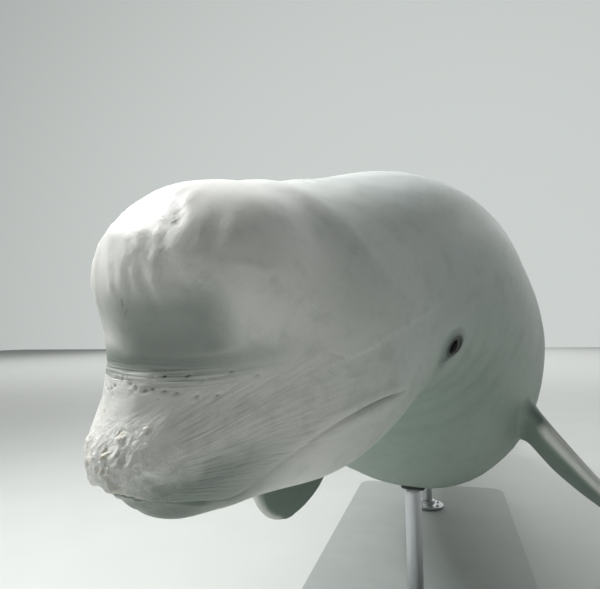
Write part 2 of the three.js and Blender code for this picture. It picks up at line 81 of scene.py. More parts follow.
def smoothstep(start: float, end: float, x: Array) -> Array:
    """A smooth rise from 0 at start to 1 at end."""
    t = np.clip((x - start) / (end - start), 0, 1)
    return t * t * (3 - 2 * t)


def hump(x: Array, width: float) -> Array:
    """A smooth hump, 1 at x = 0, that dies away over about the width."""
    return np.exp(-((x / width) ** 2))


def band(x: Array, rise: Span, fall: Span) -> Array:
    """A smooth rise over one span times a smooth fall over another."""
    return smoothstep(*rise, x) * smoothstep(*fall, x)


def between(low: float, high: float, share: Array) -> Array:
    """The value at a share of the way from low to high."""
    return low + (high - low) * share


def around(count: int) -> Array:
    """Angles at equal steps round a circle."""
    return 2 * math.pi * np.arange(count) / count


def curve_at(rows: Array, at: Array, column: int) -> Array:
    """One column of a table of rows, on a smooth curve through them.

    Args:
        rows: The rows, each with its place first.
        at: The places to read.
        column: The column to read.

    Returns:
        The value at each place, held at the ends.
    """
    places = rows[:, 0]
    values = rows[:, column]
    before = np.maximum(np.arange(len(rows)) - 1, 0)
    after = np.minimum(np.arange(len(rows)) + 1, len(rows) - 1)
    slopes = (values[after] - values[before]) / (places[after] - places[before])
    x = np.clip(at, places[0], places[-1])
    i = np.clip(np.searchsorted(places, x) - 1, 0, len(rows) - 2)
    h = places[i + 1] - places[i]
    t = (x - places[i]) / h
    return (
        (2 * t**3 - 3 * t**2 + 1) * values[i]
        + (t**3 - 2 * t**2 + t) * h * slopes[i]
        + (3 * t**2 - 2 * t**3) * values[i + 1]
        + (t**3 - t**2) * h * slopes[i + 1]
    )


def lattice_noise(points: Array, size: float, seed: int) -> Array:
    """Smooth noise from -1 to 1 on a cubic lattice.

    Args:
        points: The places, one row each.
        size: The lattice's spacing in metres.
        seed: Picks the values at its corners.

    Returns:
        The noise at each place.
    """
    cells = points / size
    base = np.floor(cells).astype(np.int64)
    t = cells - base
    t = t * t * (3 - 2 * t)
    total = np.zeros(len(points))
    for corner in itertools.product((0, 1), repeat=3):
        c = base + np.array(corner)
        key = c[:, 0] * 73856093 ^ c[:, 1] * 19349663 ^ c[:, 2] * 83492791 ^ (seed * 2654435761)
        key = ((key & 0xFFFFFF) * 1103515245 + 12345) & 0x7FFFFFFF
        value = (key >> 7) % 65536 / 32767.5 - 1
        weight = np.prod(np.where(np.array(corner) == 1, t, 1 - t), axis=1)
        total += weight * value
    return total


def unit(rows: Array) -> Array:
    """The rows, each scaled to length 1."""
    return rows / np.maximum(np.linalg.norm(rows, axis=1, keepdims=True), 1e-12)


# The straight whale


@dataclass(frozen=True)
class Mass:
    """One mass of the head, an ellipsoid: its place and its half sizes."""

    back: float
    left: float
    up: float
    size: Place

    def field(self, p: Array) -> Array:
        """About the distance outside the mass at each point, negative inside.

        Args:
            p: The points, one row each.

        Returns:
            The distances.
        """
        size = np.array(self.size)
        q = (p - np.array([self.back, self.left, self.up])) / size
        k0 = np.linalg.norm(q, axis=1) + 1e-9
        k1 = np.linalg.norm(q / size, axis=1) + 1e-9
        return k0 * (k0 - 1) / k1


def flowing(flow: Union[float, Array], *fields: Array) -> Array:
    """The union of fields that flow into each other.

    Args:
        flow: How sharply they meet; a smaller flow makes a wider fillet.
        fields: The fields' values at the same points.

    Returns:
        The union's values.
    """
    least = np.minimum.reduce(fields)
    total = sum(np.exp(-flow * (f - least)) for f in fields)
    return least - np.log(total) / flow


@dataclass(frozen=True)
class WhaleForm:
    """The whale's smooth outer form, straight, as a field that is 0 on the skin."""

    # Distance behind the snout, half width, rise over the axis and drop under it
    stations: Rows = (
        (0.22, 0.1, 0.08, 0.11), (0.34, 0.15, 0.128, 0.15), (0.46, 0.182, 0.158, 0.182),
        (0.6, 0.222, 0.192, 0.228), (0.78, 0.27, 0.234, 0.28), (1.0, 0.315, 0.272, 0.322),
        (1.32, 0.345, 0.3, 0.345), (1.69, 0.345, 0.308, 0.345), (2.06, 0.312, 0.296, 0.318),
        (2.43, 0.245, 0.262, 0.262), (2.79, 0.165, 0.208, 0.19), (3.11, 0.098, 0.15, 0.13),
        (3.37, 0.056, 0.096, 0.084), (3.54, 0.03, 0.037, 0.034), (3.585, 0.02, 0.013, 0.013),
        (3.64, 0.008, 0.002, 0.002),
    )
    roundness: float = 2.15
    cranium: Mass = Mass(0.3, 0.0, 0.005, (0.198, 0.147, 0.15))
    rostrum: Mass = Mass(0.125, 0.0, -0.033, (0.123, 0.081, 0.053))
    jaw: Mass = Mass(0.16, 0.0, -0.081, (0.118, 0.07, 0.031))
    jowl: Mass = Mass(0.255, 0.069, -0.07, (0.12, 0.059, 0.062))
    bridge: Mass = Mass(0.13, 0.0, 0.022, (0.08, 0.07, 0.045))
    melon: Mass = Mass(0.165, 0.0, 0.086, (0.101, 0.116, 0.098))
    flesh_flow: float = 45.0
    bridge_flow: float = 60.0
    melon_flow: Span = (80.0, 30.0)
    melon_flow_span: Span = (0.13, 0.26)
    head_ends: float = 0.8

    def size(self, back: Array, column: int) -> Array:
        """One of the trunk's sizes at distances behind the snout."""
        return curve_at(np.array(self.stations), back, column)

    def trunk_field(self, p: Array) -> Array:
        """The field of the trunk alone.

        Args:
            p: The points, one row each.

        Returns:
            Its value at each point.
        """
        back, left, up = p.T
        half = self.size(back, 1)
        tall = np.where(up > 0, self.size(back, 2), self.size(back, 3))
        n = self.roundness
        reach = (np.abs(left / half) ** n + np.abs(up / tall) ** n) ** (1 / n)
        outside = (reach - 1) * np.minimum(half, tall)
        ahead = self.stations[0][0] - back
        return np.where(ahead > 0, np.hypot(np.maximum(outside, 0), ahead), outside)

    def field(self, p: Array) -> Array:
        """About the distance outside the skin at each point, negative inside.

        Args:
            p: The points, one row each.

        Returns:
            The distances.
        """
        result = self.trunk_field(p)
        head = p[:, 0] < self.head_ends
        if not head.any():
            return result
        q = p[head]
        mirrored = q * np.array([1, 0, 1]) + np.abs(q) * np.array([0, 1, 0])
        flesh = flowing(
            self.flesh_flow,
            result[head],
            self.cranium.field(q),
            self.jowl.field(mirrored),
            self.rostrum.field(q),
            self.jaw.field(q),
        )
        bridged = flowing(self.bridge_flow, flesh, self.bridge.field(q))
        front, rear = self.melon_flow
        flow = front + (rear - front) * smoothstep(*self.melon_flow_span, q[:, 0])
        result[head] = flowing(flow, bridged, self.melon.field(q))
        return result

    def slope(self, p: Array, step: float = 0.0005) -> Array:
        """The field's gradient at each point.

        Args:
            p: The points, one row each.
            step: Half the distance between the values compared.

        Returns:
            The gradients, one row each.
        """
        columns = []
        for axis in np.eye(3) * step:
            columns.append((self.field(p + axis) - self.field(p - axis)) / (2 * step))
        return np.stack(columns, axis=1)

    def reach(self, origins: Array, directions: Array, farthest: float = 0.6) -> Array:
        """The points where rays from inside the whale meet its skin.

        Args:
            origins: The rays' starts, one row each.
            directions: Their unit directions.
            farthest: How far they may go.

        Returns:
            The points on the skin.
        """
        near = np.zeros(len(origins))
        far = np.full(len(origins), farthest)
        for _ in range(HALVINGS):
            r = (near + far) / 2
            inside = self.field(origins + directions * r[:, None]) < 0
            near, far = np.where(inside, r, near), np.where(inside, far, r)
        return origins + directions * ((near + far) / 2)[:, None]

    def reach_one(self, start: Place, direction: Place) -> Array:
        """The point where one ray from inside the whale meets its skin."""
        return self.reach(np.array([start]), np.array([direction]))[0]

    def settle(self, p: Array) -> Array:
        """Points near the skin, moved onto it.

        Args:
            p: The points, one row each.

        Returns:
            The moved points.
        """
        for _ in range(4):
            slope = self.slope(p)
            p = p - slope * (self.field(p) / np.maximum((slope**2).sum(axis=1), 1e-9))[:, None]
        return p


@dataclass(frozen=True)
class Spine:
    """The curve that the straight whale is carried onto, and where it hangs over the base."""

    neck: Span = (0.34, 0.7)
    nod: float = 0.6465
    turn: float = 0.3197
    tail: Span = (1.3, 3.1)
    rise: float = math.radians(14)
    lean: float = math.radians(8)
    place: Place = (-0.64, 0.0, 0.8)
    anchor: float = 1.0
    start: float = -0.1
    step: float = 0.005
    count: int = 800

    def tangents(self, back: Array) -> Array:
        """The spine's directions at distances behind the snout.

        Args:
            back: The distances.

        Returns:
            The unit directions, one row each.
        """
        neck = 1 - smoothstep(*self.neck, back)
        climb = self.nod * neck + self.rise * smoothstep(*self.tail, back)
        turn = self.turn * neck
        return np.stack(
            [np.cos(climb) * np.cos(turn), -np.cos(climb) * np.sin(turn), np.sin(climb)], axis=1
        )

    def carried(self, p: Array) -> Array:
        """Points of the straight whale, in its coordinates, at their places in the row frame.

        Args:
            p: The points, one row each.

        Returns:
            Their places, one row each.
        """
        middles = self.start + (np.arange(self.count - 1) + 0.5) * self.step
        line = np.concatenate([np.zeros((1, 3)), np.cumsum(self.tangents(middles) * self.step, 0)])
        line -= line[round((self.anchor - self.start) / self.step)]
        at = (p[:, 0] - self.start) / self.step
        i = np.clip(np.floor(at).astype(int), 0, self.count - 2)
        centre = line[i] + (line[i + 1] - line[i]) * (at - i)[:, None]
        tangent = self.tangents(p[:, 0])
        left = unit(np.stack([tangent[:, 1], -tangent[:, 0], np.zeros(len(p))], axis=1))
        up = np.cross(left, tangent)
        local = centre + left * p[:, 1:2] + up * p[:, 2:3]
        turned = Matrix.Rotation(self.rise, 3, "Y") @ Matrix.Rotation(self.lean, 3, "X")
        return local @ np.array(turned).T + np.array(self.place)


# Meshes as arrays


@dataclass
class Shell:
    """A closed surface in the whale's straight coordinates."""

    points: Array
    faces: list[tuple[int, ...]]

    def mesh(self, name: str) -> Mesh:
        """The surface as a mesh of Blender, its faces turned outwards.

        Args:
            name: The mesh's name.

        Returns:
            The mesh.
        """
        mesh = bpy.data.meshes.new(name)
        mesh.from_pydata(self.points.tolist(), [], self.faces)
        bm = bmesh.new()
        bm.from_mesh(mesh)
        bmesh.ops.remove_doubles(bm, verts=bm.verts, dist=1e-7)
        bmesh.ops.recalc_face_normals(bm, faces=bm.faces)
        if bm.calc_volume(signed=True) < 0:
            bmesh.ops.reverse_faces(bm, faces=bm.faces)
        bm.to_mesh(mesh)
        bm.free()
        return mesh


def rows_of(items: Any, name: str, width: int, kind: type = float) -> Array:
    """One property of a mesh's vertices or edges.

    Args:
        items: The vertices or edges.
        name: The property's name.
        width: How many numbers it has.
        kind: Their kind.

    Returns:
        The numbers, one row for each item.
    """
    flat = np.empty(len(items) * width, dtype=kind)
    items.foreach_get(name, flat)
    return flat.reshape(-1, width)


def points_of(mesh: Mesh) -> Array:
    """A mesh's vertices, one row each."""
    return rows_of(mesh.vertices, "co", 3)


def normals_of(mesh: Mesh) -> Array:
    """A mesh's vertex normals, one row each."""
    mesh.update()
    return rows_of(mesh.vertices, "normal", 3)


def edges_of(mesh: Mesh) -> Array:
    """A mesh's edges, one row of two vertices each."""
    return rows_of(mesh.edges, "vertices", 2, np.int64)


def set_points(mesh: Mesh, points: Array) -> None:
    """Moves a mesh's vertices."""
    mesh.vertices.foreach_set("co", points.ravel())
    mesh.update()


def smoothed(points: Array, edges: Array, weight: Array, rounds: int) -> Array:
    """Points drawn towards the middle of their neighbours.

    Args:
        points: The vertices, one row each.
        edges: The mesh's edges.
        weight: How far each vertex gives way in a round, from 0 to 1.
        rounds: The number of rounds.

    Returns:
        The moved vertices.
    """
    degree = np.bincount(edges.ravel(), minlength=len(points))[:, None]
    for _ in range(rounds):
        total = np.zeros_like(points)
        np.add.at(total, edges[:, 0], points[edges[:, 1]])
        np.add.at(total, edges[:, 1], points[edges[:, 0]])
        points = points + (total / np.maximum(degree, 1) - points) * weight[:, None]
    return points


def strips(gaps: int, rings: int, sides: int) -> list[tuple[int, ...]]:
    """The faces between rings of points.

    Args:
        gaps: How many gaps to fill, as many as there are rings in a closed tube.
        rings: The number of rings.
        sides: The number of points in each.

    Returns:
        The faces.
    """
    faces: list[tuple[int, ...]] = []
    for i, j in itertools.product(range(gaps), range(sides)):
        a, b, k = i * sides, (i + 1) % rings * sides, (j + 1) % sides
        faces.append((a + j, a + k, b + k, b + j))
    return faces


def loft(rings: Sequence[Array]) -> Shell:
    """A closed skin over rings of equally many points, its ends closed on their middles.

    Args:
        rings: The rings, from one end to the other.

    Returns:
        The closed skin.
    """
    count, sides = len(rings), len(rings[0])
    faces = strips(count - 1, count, sides)
    first, last, end = count * sides, count * sides + 1, (count - 1) * sides
    for j in range(sides):
        k = (j + 1) % sides
        faces += [(first, k, j), (last, end + j, end + k)]
    return Shell(np.concatenate([*rings, rings[0].mean(0)[None], rings[-1].mean(0)[None]]), faces)


def looped(rings: Sequence[Array]) -> Shell:
    """A closed tube over rings of equally many points."""
    return Shell(np.concatenate(rings), strips(len(rings), len(rings), len(rings[0])))


def lathe(profile: Sequence[Span], sides: int) -> Shell:
    """A ring turned round the Z axis from a closed outline.

    Args:
        profile: The outline's radius and height at each corner, in order.
        sides: The number of steps round.

    Returns:
        The closed ring.
    """
    r, z = np.array(profile).T
    return looped([np.stack([r * np.cos(a), r * np.sin(a), z], axis=1) for a in around(sides)])


def tree_of(points: Sequence[Array]) -> KDTree:
    """A search tree of points.

    Args:
        points: The points, one row each.

    Returns:
        The tree, ready to be searched.
    """
    tree = KDTree(len(points))
    for i, point in enumerate(points):
        tree.insert(point, i)
    tree.balance()
    return tree


def write_attribute(mesh: Mesh, name: str, values: Array) -> None:
    """Gives a mesh's vertices an attribute.

    Args:
        mesh: The mesh.
        name: The attribute's name.
        values: One number or one row of three for each vertex.
    """
    kind, field = ("FLOAT", "value") if values.ndim == 1 else ("FLOAT_VECTOR", "vector")
    attribute = mesh.attributes.new(name, kind, "POINT")
    attribute.data.foreach_set(field, values.ravel())


def added(name: str, data: bpy.types.ID) -> Object:
    """A new object in the scene.

    Args:
        name: Its name.
        data: Its mesh, light or camera.

    Returns:
        The object.
    """
    obj = bpy.data.objects.new(name, data)
    bpy.context.scene.collection.objects.link(obj)
    return obj


def piece(name: str, mesh: Mesh, finish: Material) -> Object:
    """A smooth-shaded object at the origin, in one finish.

    Args:
        name: The object's name.
        mesh: The mesh.
        finish: The finish.

    Returns:
        The object.
    """
    obj = added(name, mesh)
    mesh.polygons.foreach_set("use_smooth", np.ones(len(mesh.polygons), dtype=bool))
    mesh.materials.clear()
    mesh.materials.append(finish)
    return obj


def applied(obj: Object) -> Mesh:
    """The object's mesh with its modifiers applied, which are then removed.

    Args:
        obj: The object.

    Returns:
        The new mesh.
    """
    depsgraph = bpy.context.evaluated_depsgraph_get()
    mesh = bpy.data.meshes.new_from_object(obj.evaluated_get(depsgraph), depsgraph=depsgraph)
    obj.modifiers.clear()
    return mesh


# Shader nodes


class Sock:
    """A shader socket. Used in an expression, it adds the Math nodes that work it out."""

    def __init__(self, board: "Board", socket: bpy.types.NodeSocket) -> None:
        """Wraps one output socket of a board."""
        self.board = board
        self.socket = socket

    def math(self, operation: str, *values: Any) -> "Sock":
        """One Math node on the given values."""
        inputs = dict(enumerate(values))
        return self.board.out(self.board.node("ShaderNodeMath", {"operation": operation}, inputs))

    def __add__(self, other: Any) -> "Sock":
        """self + other."""
        return self.math("ADD", self, other)

    def __radd__(self, other: Any) -> "Sock":
        """other + self."""
        return self.math("ADD", other, self)

    def __sub__(self, other: Any) -> "Sock":
        """self - other."""
        return self.math("SUBTRACT", self, other)

    def __rsub__(self, other: Any) -> "Sock":
        """other - self."""
        return self.math("SUBTRACT", other, self)

    def __mul__(self, other: Any) -> "Sock":
        """self * other."""
        return self.math("MULTIPLY", self, other)

    def __rmul__(self, other: Any) -> "Sock":
        """other * self."""
        return self.math("MULTIPLY", other, self)

    def __truediv__(self, other: Any) -> "Sock":
        """self / other."""
        return self.math("DIVIDE", self, other)

    def ramp(self, start: float, end: float) -> "Sock":
        """A smooth rise from 0 at start to 1 at end, or a fall where end is the lower.

        Args:
            start: Where it starts.
            end: Where it ends.

        Returns:
            The risen value.
        """
        settings = {"interpolation_type": "SMOOTHSTEP"}
        inputs = {"Value": self, "From Min": min(start, end), "From Max": max(start, end)}
        if start > end:
            inputs |= {"To Min": 1.0, "To Max": 0.0}
        return self.board.out(self.board.node("ShaderNodeMapRange", settings, inputs))


class Board:
    """One material and its nodes."""

    def __init__(self, name: str) -> None:
        """An empty material with a Principled shader on its output.

        Args:
            name: The material's name.
        """
        self.material = bpy.data.materials.new(name)
        self.material.use_nodes = True
        self.tree = self.material.node_tree
        self.tree.nodes.clear()
        self.shader = self.node("ShaderNodeBsdfPrincipled")
        end = self.node("ShaderNodeOutputMaterial")
        self.tree.links.new(self.shader.outputs[0], end.inputs[0])

    def node(self, kind: str, settings: Any = None, inputs: Any = None) -> Node:
        """One node.

        Args:
            kind: The node's type.
            settings: Its properties, set first.
            inputs: Values or Socks for its sockets, by name or index.

        Returns:
            The node.
        """
        node = self.tree.nodes.new(kind)
        for key, value in (settings or {}).items():
            setattr(node, key, value)
        self.feed(node, inputs or {})
        return node

    def feed(self, node: Node, inputs: dict[Union[int, str], Any]) -> None:
        """Gives a node's sockets their values.

        Args:
            node: The node.
            inputs: Values or Socks for its sockets, by name or index.
        """
        for key, value in inputs.items():
            if isinstance(value, Sock):
                self.tree.links.new(value.socket, node.inputs[key])
            else:
                node.inputs[key].default_value = value

    def out(self, node: Node, output: Union[int, str] = 0) -> Sock:
        """One of a node's outputs."""
        return Sock(self, node.outputs[output])

    def attribute(self, name: str, output: str = "Fac") -> Sock:
        """One of the mesh's own attributes."""
        return self.out(self.node("ShaderNodeAttribute", {"attribute_name": name}), output)

    def place(self) -> Sock:
        """The piece's own Object coordinates."""
        return self.out(self.node("ShaderNodeTexCoord"), "Object")

    def parts(self, vector: Sock) -> tuple[Sock, Sock, Sock]:
        """A vector's three numbers."""
        node = self.node("ShaderNodeSeparateXYZ", None, {0: vector})
        return self.out(node, 0), self.out(node, 1), self.out(node, 2)

    def vector(self, x: Any, y: Any, z: Any) -> Sock:
        """Three numbers as a vector."""
        return self.out(self.node("ShaderNodeCombineXYZ", None, {0: x, 1: y, 2: z}))

    def noise(self, vector: Sock, scale: float, detail: float = 2.0, rough: float = 0.5) -> Sock:
        """Noise from 0 to 1, its scale in cells to the metre."""
        inputs = {"Vector": vector, "Scale": scale, "Detail": detail, "Roughness": rough}
        return self.out(self.node("ShaderNodeTexNoise", None, inputs), 0)

    def cells(self, vector: Sock, scale: float) -> Sock:
        """The distance to the nearest of scattered points, in cells."""
        inputs = {"Vector": vector, "Scale": scale, "Randomness": 1.0}
        return self.out(self.node("ShaderNodeTexVoronoi", None, inputs), "Distance")

    def mix(self, factor: Any, a: Any, b: Any) -> Sock:
        """Colour a turning into colour b as the factor goes from 0 to 1."""
        node = self.node("ShaderNodeMix", {"data_type": "RGBA"}, {0: factor, 6: a, 7: b})
        return self.out(node, 2)

    def bump(self, height: Sock, distance: float, strength: float = 1.0, under: Any = None) -> Sock:
        """A bumped normal, over another one where that is given.

        Args:
            height: The height, from 0 to 1.
            distance: What the full height is, in metres.
            strength: The share of it that shows.
            under: The normal under it.

        Returns:
            The normal.
        """
        inputs = {"Height": height, "Distance": distance, "Strength": strength}
        if under is not None:
            inputs["Normal"] = under
        return self.out(self.node("ShaderNodeBump", None, inputs))

    def finish(self, values: dict[str, Any]) -> Material:
        """Sets the shader's sockets, by name, and returns the material."""
        self.feed(self.shader, values)
        return self.material


def tone(red: float, green: float, blue: float) -> Colour:
    """A screen colour, its parts from 0 to 1, as the linear colour that shaders take."""
    parts = (red, green, blue)
    return (*(c / 12.92 if c <= 0.04045 else ((c + 0.055) / 1.055) ** 2.4 for c in parts), 1.0)


# The whale's skin


class Side(Enum):
    """One side of the whale, as a sign on distances to its left."""

    LEFT = 1
    RIGHT = -1


@dataclass
class Rays:
    """Rays from inside the whale to its skin, and the faces between the points they find."""

    origins: list[Array]
    directions: list[Array]
    faces: list[tuple[int, ...]]
    count: int = 0

    def add(self, origins: Array, directions: Array) -> Array:
        """Adds rays.

        Args:
            origins: Their starts, one row each.
            directions: Their unit directions.

        Returns:
            The rays' numbers.
        """
        self.origins.append(origins)
        self.directions.append(directions)
        numbers = np.arange(self.count, self.count + len(origins))
        self.count += len(origins)
        return numbers

    def join(self, a: Array, b: Array) -> None:
        """Joins two rings, of equal counts or with one twice as fine as the other.

        Args:
            a: The rays of one ring.
            b: The rays of the other.
        """
        n = min(len(a), len(b))
        if len(a) == len(b):
            for i in range(n):
                j = (i + 1) % n
                self.faces.append((a[i], a[j], b[j], b[i]))
            return
        coarse, fine = (a, b) if len(a) < len(b) else (b, a)
        for i in range(n):
            j = (i + 1) % n
            left, middle, right = fine[2 * i], fine[2 * i + 1], fine[2 * j]
            self.faces.append((coarse[i], middle, left))
            self.faces.append((coarse[i], coarse[j], middle))
            self.faces.append((coarse[j], right, middle))


@dataclass(frozen=True)
class SkinGrid:
    """How the whale's skin is divided: a fan round the snout, then rings along the body."""

    centre: float = 0.3
    pole_tilt: float = -0.25
    disc_cells: int = 32
    disc_spread: float = 0.2
    fan_rings: int = 84
    upright_at: float = 0.46
    upright_rings: int = 30
    neck_end: float = 0.68
    neck_rings: int = 36
    chest_start: float = 1.0
    chest_rings: int = 24
    tail_end: float = 3.62
    body_sides: int = 64
    finest_step: float = 0.006

    def fan(self, spread: Array, angle: Array, tilt: float) -> Array:
        """Directions at a spread from the tilted pole, round it by an angle from the top.

        Args:
            spread: The angle from the pole.
            angle: The angle round the pole.
            tilt: How far the pole is tilted up from straight ahead.

        Returns:
            The directions, one row each.
        """
        pole = np.array([-math.cos(tilt), 0.0, math.sin(tilt)])
        upward = np.array([math.sin(tilt), 0.0, math.cos(tilt)])
        leftward = np.array([0.0, 1.0, 0.0])
        return (
            np.outer(np.cos(spread), pole)
            + np.outer(np.sin(spread) * np.cos(angle), upward)
            + np.outer(np.sin(spread) * np.sin(angle), leftward)
        )

    def disc(self, rays: Rays) -> Array:
        """The disc of square cells at the snout's tip.

        Args:
            rays: Takes the rays and the faces.

        Returns:
            The rays of its rim, in order.
        """
        n = self.disc_cells
        steps = np.linspace(-1, 1, n + 1)
        u, v = (grid.ravel() for grid in np.meshgrid(steps, steps, indexing="ij"))
        wide = np.abs(u) >= np.abs(v)
        radius = np.where(wide, u, v)
        with np.errstate(divide="ignore", invalid="ignore"):
            flat = np.where(wide, math.pi / 4 * v / u, math.pi / 2 - math.pi / 4 * u / v)
        flat = np.nan_to_num(flat)
        x, y = radius * np.cos(flat), radius * np.sin(flat)
        angle = np.arctan2(y, x)
        origins = np.tile([self.centre, 0.0, 0.0], (len(u), 1))
        spread = self.disc_spread * np.hypot(x, y)
        numbers = rays.add(origins, self.fan(spread, angle, self.pole_tilt)).reshape(n + 1, n + 1)
        for i, j in itertools.product(range(n), repeat=2):
            corners = (numbers[i, j], numbers[i + 1, j], numbers[i + 1, j + 1], numbers[i, j + 1])
            rays.faces.append(corners)
        rim = np.flatnonzero(np.isclose(np.maximum(np.abs(u), np.abs(v)), 1))
        order = np.argsort(np.round(angle[rim] % (2 * math.pi), 9) % (2 * math.pi - 1e-6))
        return numbers.ravel()[rim[order]]

    def ring(self, rays: Rays, sides: int, centre: float, spread: float, tilt: float) -> Array:
        """One ring of rays.

        Args:
            rays: Takes the rays and the faces.
            sides: The number of points.
            centre: The distance behind the snout where they start.
            spread: The angle from the pole.
            tilt: How far the pole is tilted up from straight ahead.

        Returns:
            The rays' numbers.
        """
        angle = around(sides)
        origins = np.tile([centre, 0.0, 0.0], (sides, 1))
        return rays.add(origins, self.fan(np.full(sides, spread), angle, tilt))

    def stops(self, form: WhaleForm) -> list[float]:
        """Distances of the body's rings, closer together where it is slim.

        Args:
            form: The whale's form.

        Returns:
            The distances behind the snout.
        """
        at = self.chest_start
        found = []
        while at < self.tail_end:
            found.append(at)
            girth = 2 * math.pi * float(form.size(np.array([at]), 3)[0])
            at += max(girth / self.body_sides, self.finest_step)
        return [*found, self.tail_end]

    def build(self, form: WhaleForm) -> Shell:
        """The whole skin, closed at the end of the tail stock.

        Args:
            form: The whale's form.

        Returns:
            The skin, in straight coordinates.
        """
        rays = Rays([], [], [])
        last = self.disc(rays)
        head_sides = 2 * len(last)
        upright = math.pi / 2
        for t in np.arange(1, self.fan_rings + 1) / self.fan_rings:
            eased = 0.75 * t + 0.25 * t * t
            spread = self.disc_spread + (upright - self.disc_spread) * eased
            ring = self.ring(rays, head_sides, self.centre, spread, self.pole_tilt)
            rays.join(last, ring)
            last = ring
        for t in np.arange(1, self.upright_rings + 1) / self.upright_rings:
            centre = self.centre + (self.upright_at - self.centre) * t
            ring = self.ring(rays, head_sides, centre, upright, self.pole_tilt * (1 - t))
            rays.join(last, ring)
            last = ring
        neck = np.linspace(self.upright_at, self.neck_end, self.neck_rings + 1)[1:]
        chest = np.linspace(self.neck_end, self.chest_start, self.chest_rings + 1)[1:-1]
        rows = [(at, head_sides // 2) for at in (*neck, *chest)]
        rows += [(at, self.body_sides) for at in self.stops(form)]
        for at, sides in rows:
            ring = self.ring(rays, sides, float(at), upright, 0.0)
            rays.join(last, ring)
            last = ring
        points = form.reach(np.concatenate(rays.origins), np.concatenate(rays.directions))
        end = np.array([[self.tail_end + 0.004, 0.0, 0.0]])
        faces = rays.faces
        for i in range(len(last)):
            faces.append((last[i], last[(i + 1) % len(last)], rays.count))
        return Shell(np.concatenate([points, end]), faces)


@dataclass(frozen=True)
class Patch:
    """A round place on the skin that is divided more finely, and how many times."""

    centre: Place
    radius: float
    times: int

    def wants(self, p: Array) -> Array:
        """How many times the skin is to be divided at each point."""
        return self.times * (np.linalg.norm(p - np.array(self.centre), axis=1) < self.radius)


def refine(mesh: Mesh, wants: Callable[[Array], Array], form: WhaleForm) -> None:
    """Halves the mesh's edges where that is wanted, and settles the new points on the skin.

    Args:
        mesh: The mesh, in straight coordinates.
        wants: Tells how many times the skin is to be divided at each of the given points.
        form: The form whose skin the points settle on.
    """
    for time in (1, 2, 3):
        points, edges = points_of(mesh), edges_of(mesh)
        chosen = np.flatnonzero(wants(points[edges].mean(axis=1)) >= time)
        bm = bmesh.new()
        bm.from_mesh(mesh)
        bm.edges.ensure_lookup_table()
        cut = [bm.edges[i] for i in chosen]
        bmesh.ops.subdivide_edges(bm, edges=cut, cuts=1, use_grid_fill=True)
        bmesh.ops.triangulate(bm, faces=[face for face in bm.faces if len(face.verts) > 4])
        bm.to_mesh(mesh)
        bm.free()
        points = points_of(mesh)
        near = (wants(points) >= time) & (points[:, 0] < SkinGrid.tail_end - 1e-3)
        points[near] = form.settle(points[near])
        set_points(mesh, points)


# Fins


@dataclass(frozen=True)
class Section:
    """One section of a fin: its middle, its chord and thickness, and their directions."""

    centre: Array
    chord: float
    thick: float
    along: Array
    over: Array

    def ring(self, sides: int) -> Array:
        """Points round the section, blunt in front and sharp behind.

        Args:
            sides: The number of points.

        Returns:
            The points, one row each.
        """
        angle = around(sides)
        full = 1 - 0.35 * np.cos(angle)
        across = np.outer(np.cos(angle) * self.chord / 2, self.along)
        return self.centre + across + np.outer(np.sin(angle) * full * self.thick / 2, self.over)


@dataclass(frozen=True)
class Flipper:
    """A flipper: a broad paddle, narrower at the wrist, its rounded tip curled up."""

    side: Side
    root: Place
    droop: float
    sweep: float
    twist: float
    length: float = 0.45
    chord: float = 0.256
    thick: float = 0.052
    sunk: float = 0.07
    curl: float = 0.05
    rings: int = 46
    sides: int = 36

    def section(self, t: float) -> Section:
        """The section at t from 0, sunk in the chest, to 1 at the tip.

        Args:
            t: The share of the way along.

        Returns:
            The section.
        """
        side = self.side.value
        out = np.array([0.0, side * math.cos(self.droop), -math.sin(self.droop)])
        span = out * math.cos(self.sweep) + np.array([math.sin(self.sweep), 0.0, 0.0])
        over = np.array([0.0, side * math.sin(self.droop), math.cos(self.droop)])
        back = np.array([math.cos(self.sweep), 0.0, 0.0]) - out * math.sin(self.sweep)
        twist = self.twist * min(1.5 * t, 1)
        broad = min(0.62 + 0.75 * t - 0.25 * t * t, 1)
        rounding = math.sqrt(max(1 - ((t - 0.55) / 0.45) ** 2, 0)) if t > 0.55 else 1.0
        root = np.array(self.root) * np.array([1, side, 1])
        centre = root + span * ((self.length + self.sunk) * t - self.sunk) + over * self.curl * t**3
        return Section(
            centre,
            self.chord * broad * max(rounding, 0.12),
            max(self.thick * (1 - 0.72 * t), 0.007) * max(rounding**0.5, 0.5),
            back * math.cos(twist) + over * math.sin(twist),
            over * math.cos(twist) - back * math.sin(twist),
        )

    def shell(self) -> Shell:
        """The whole flipper; its sections come closer together towards the tip."""
        steps = 1 - (1 - np.linspace(0, 1, self.rings)) ** 1.5
        return loft([self.section(float(t)).ring(self.sides) for t in steps])


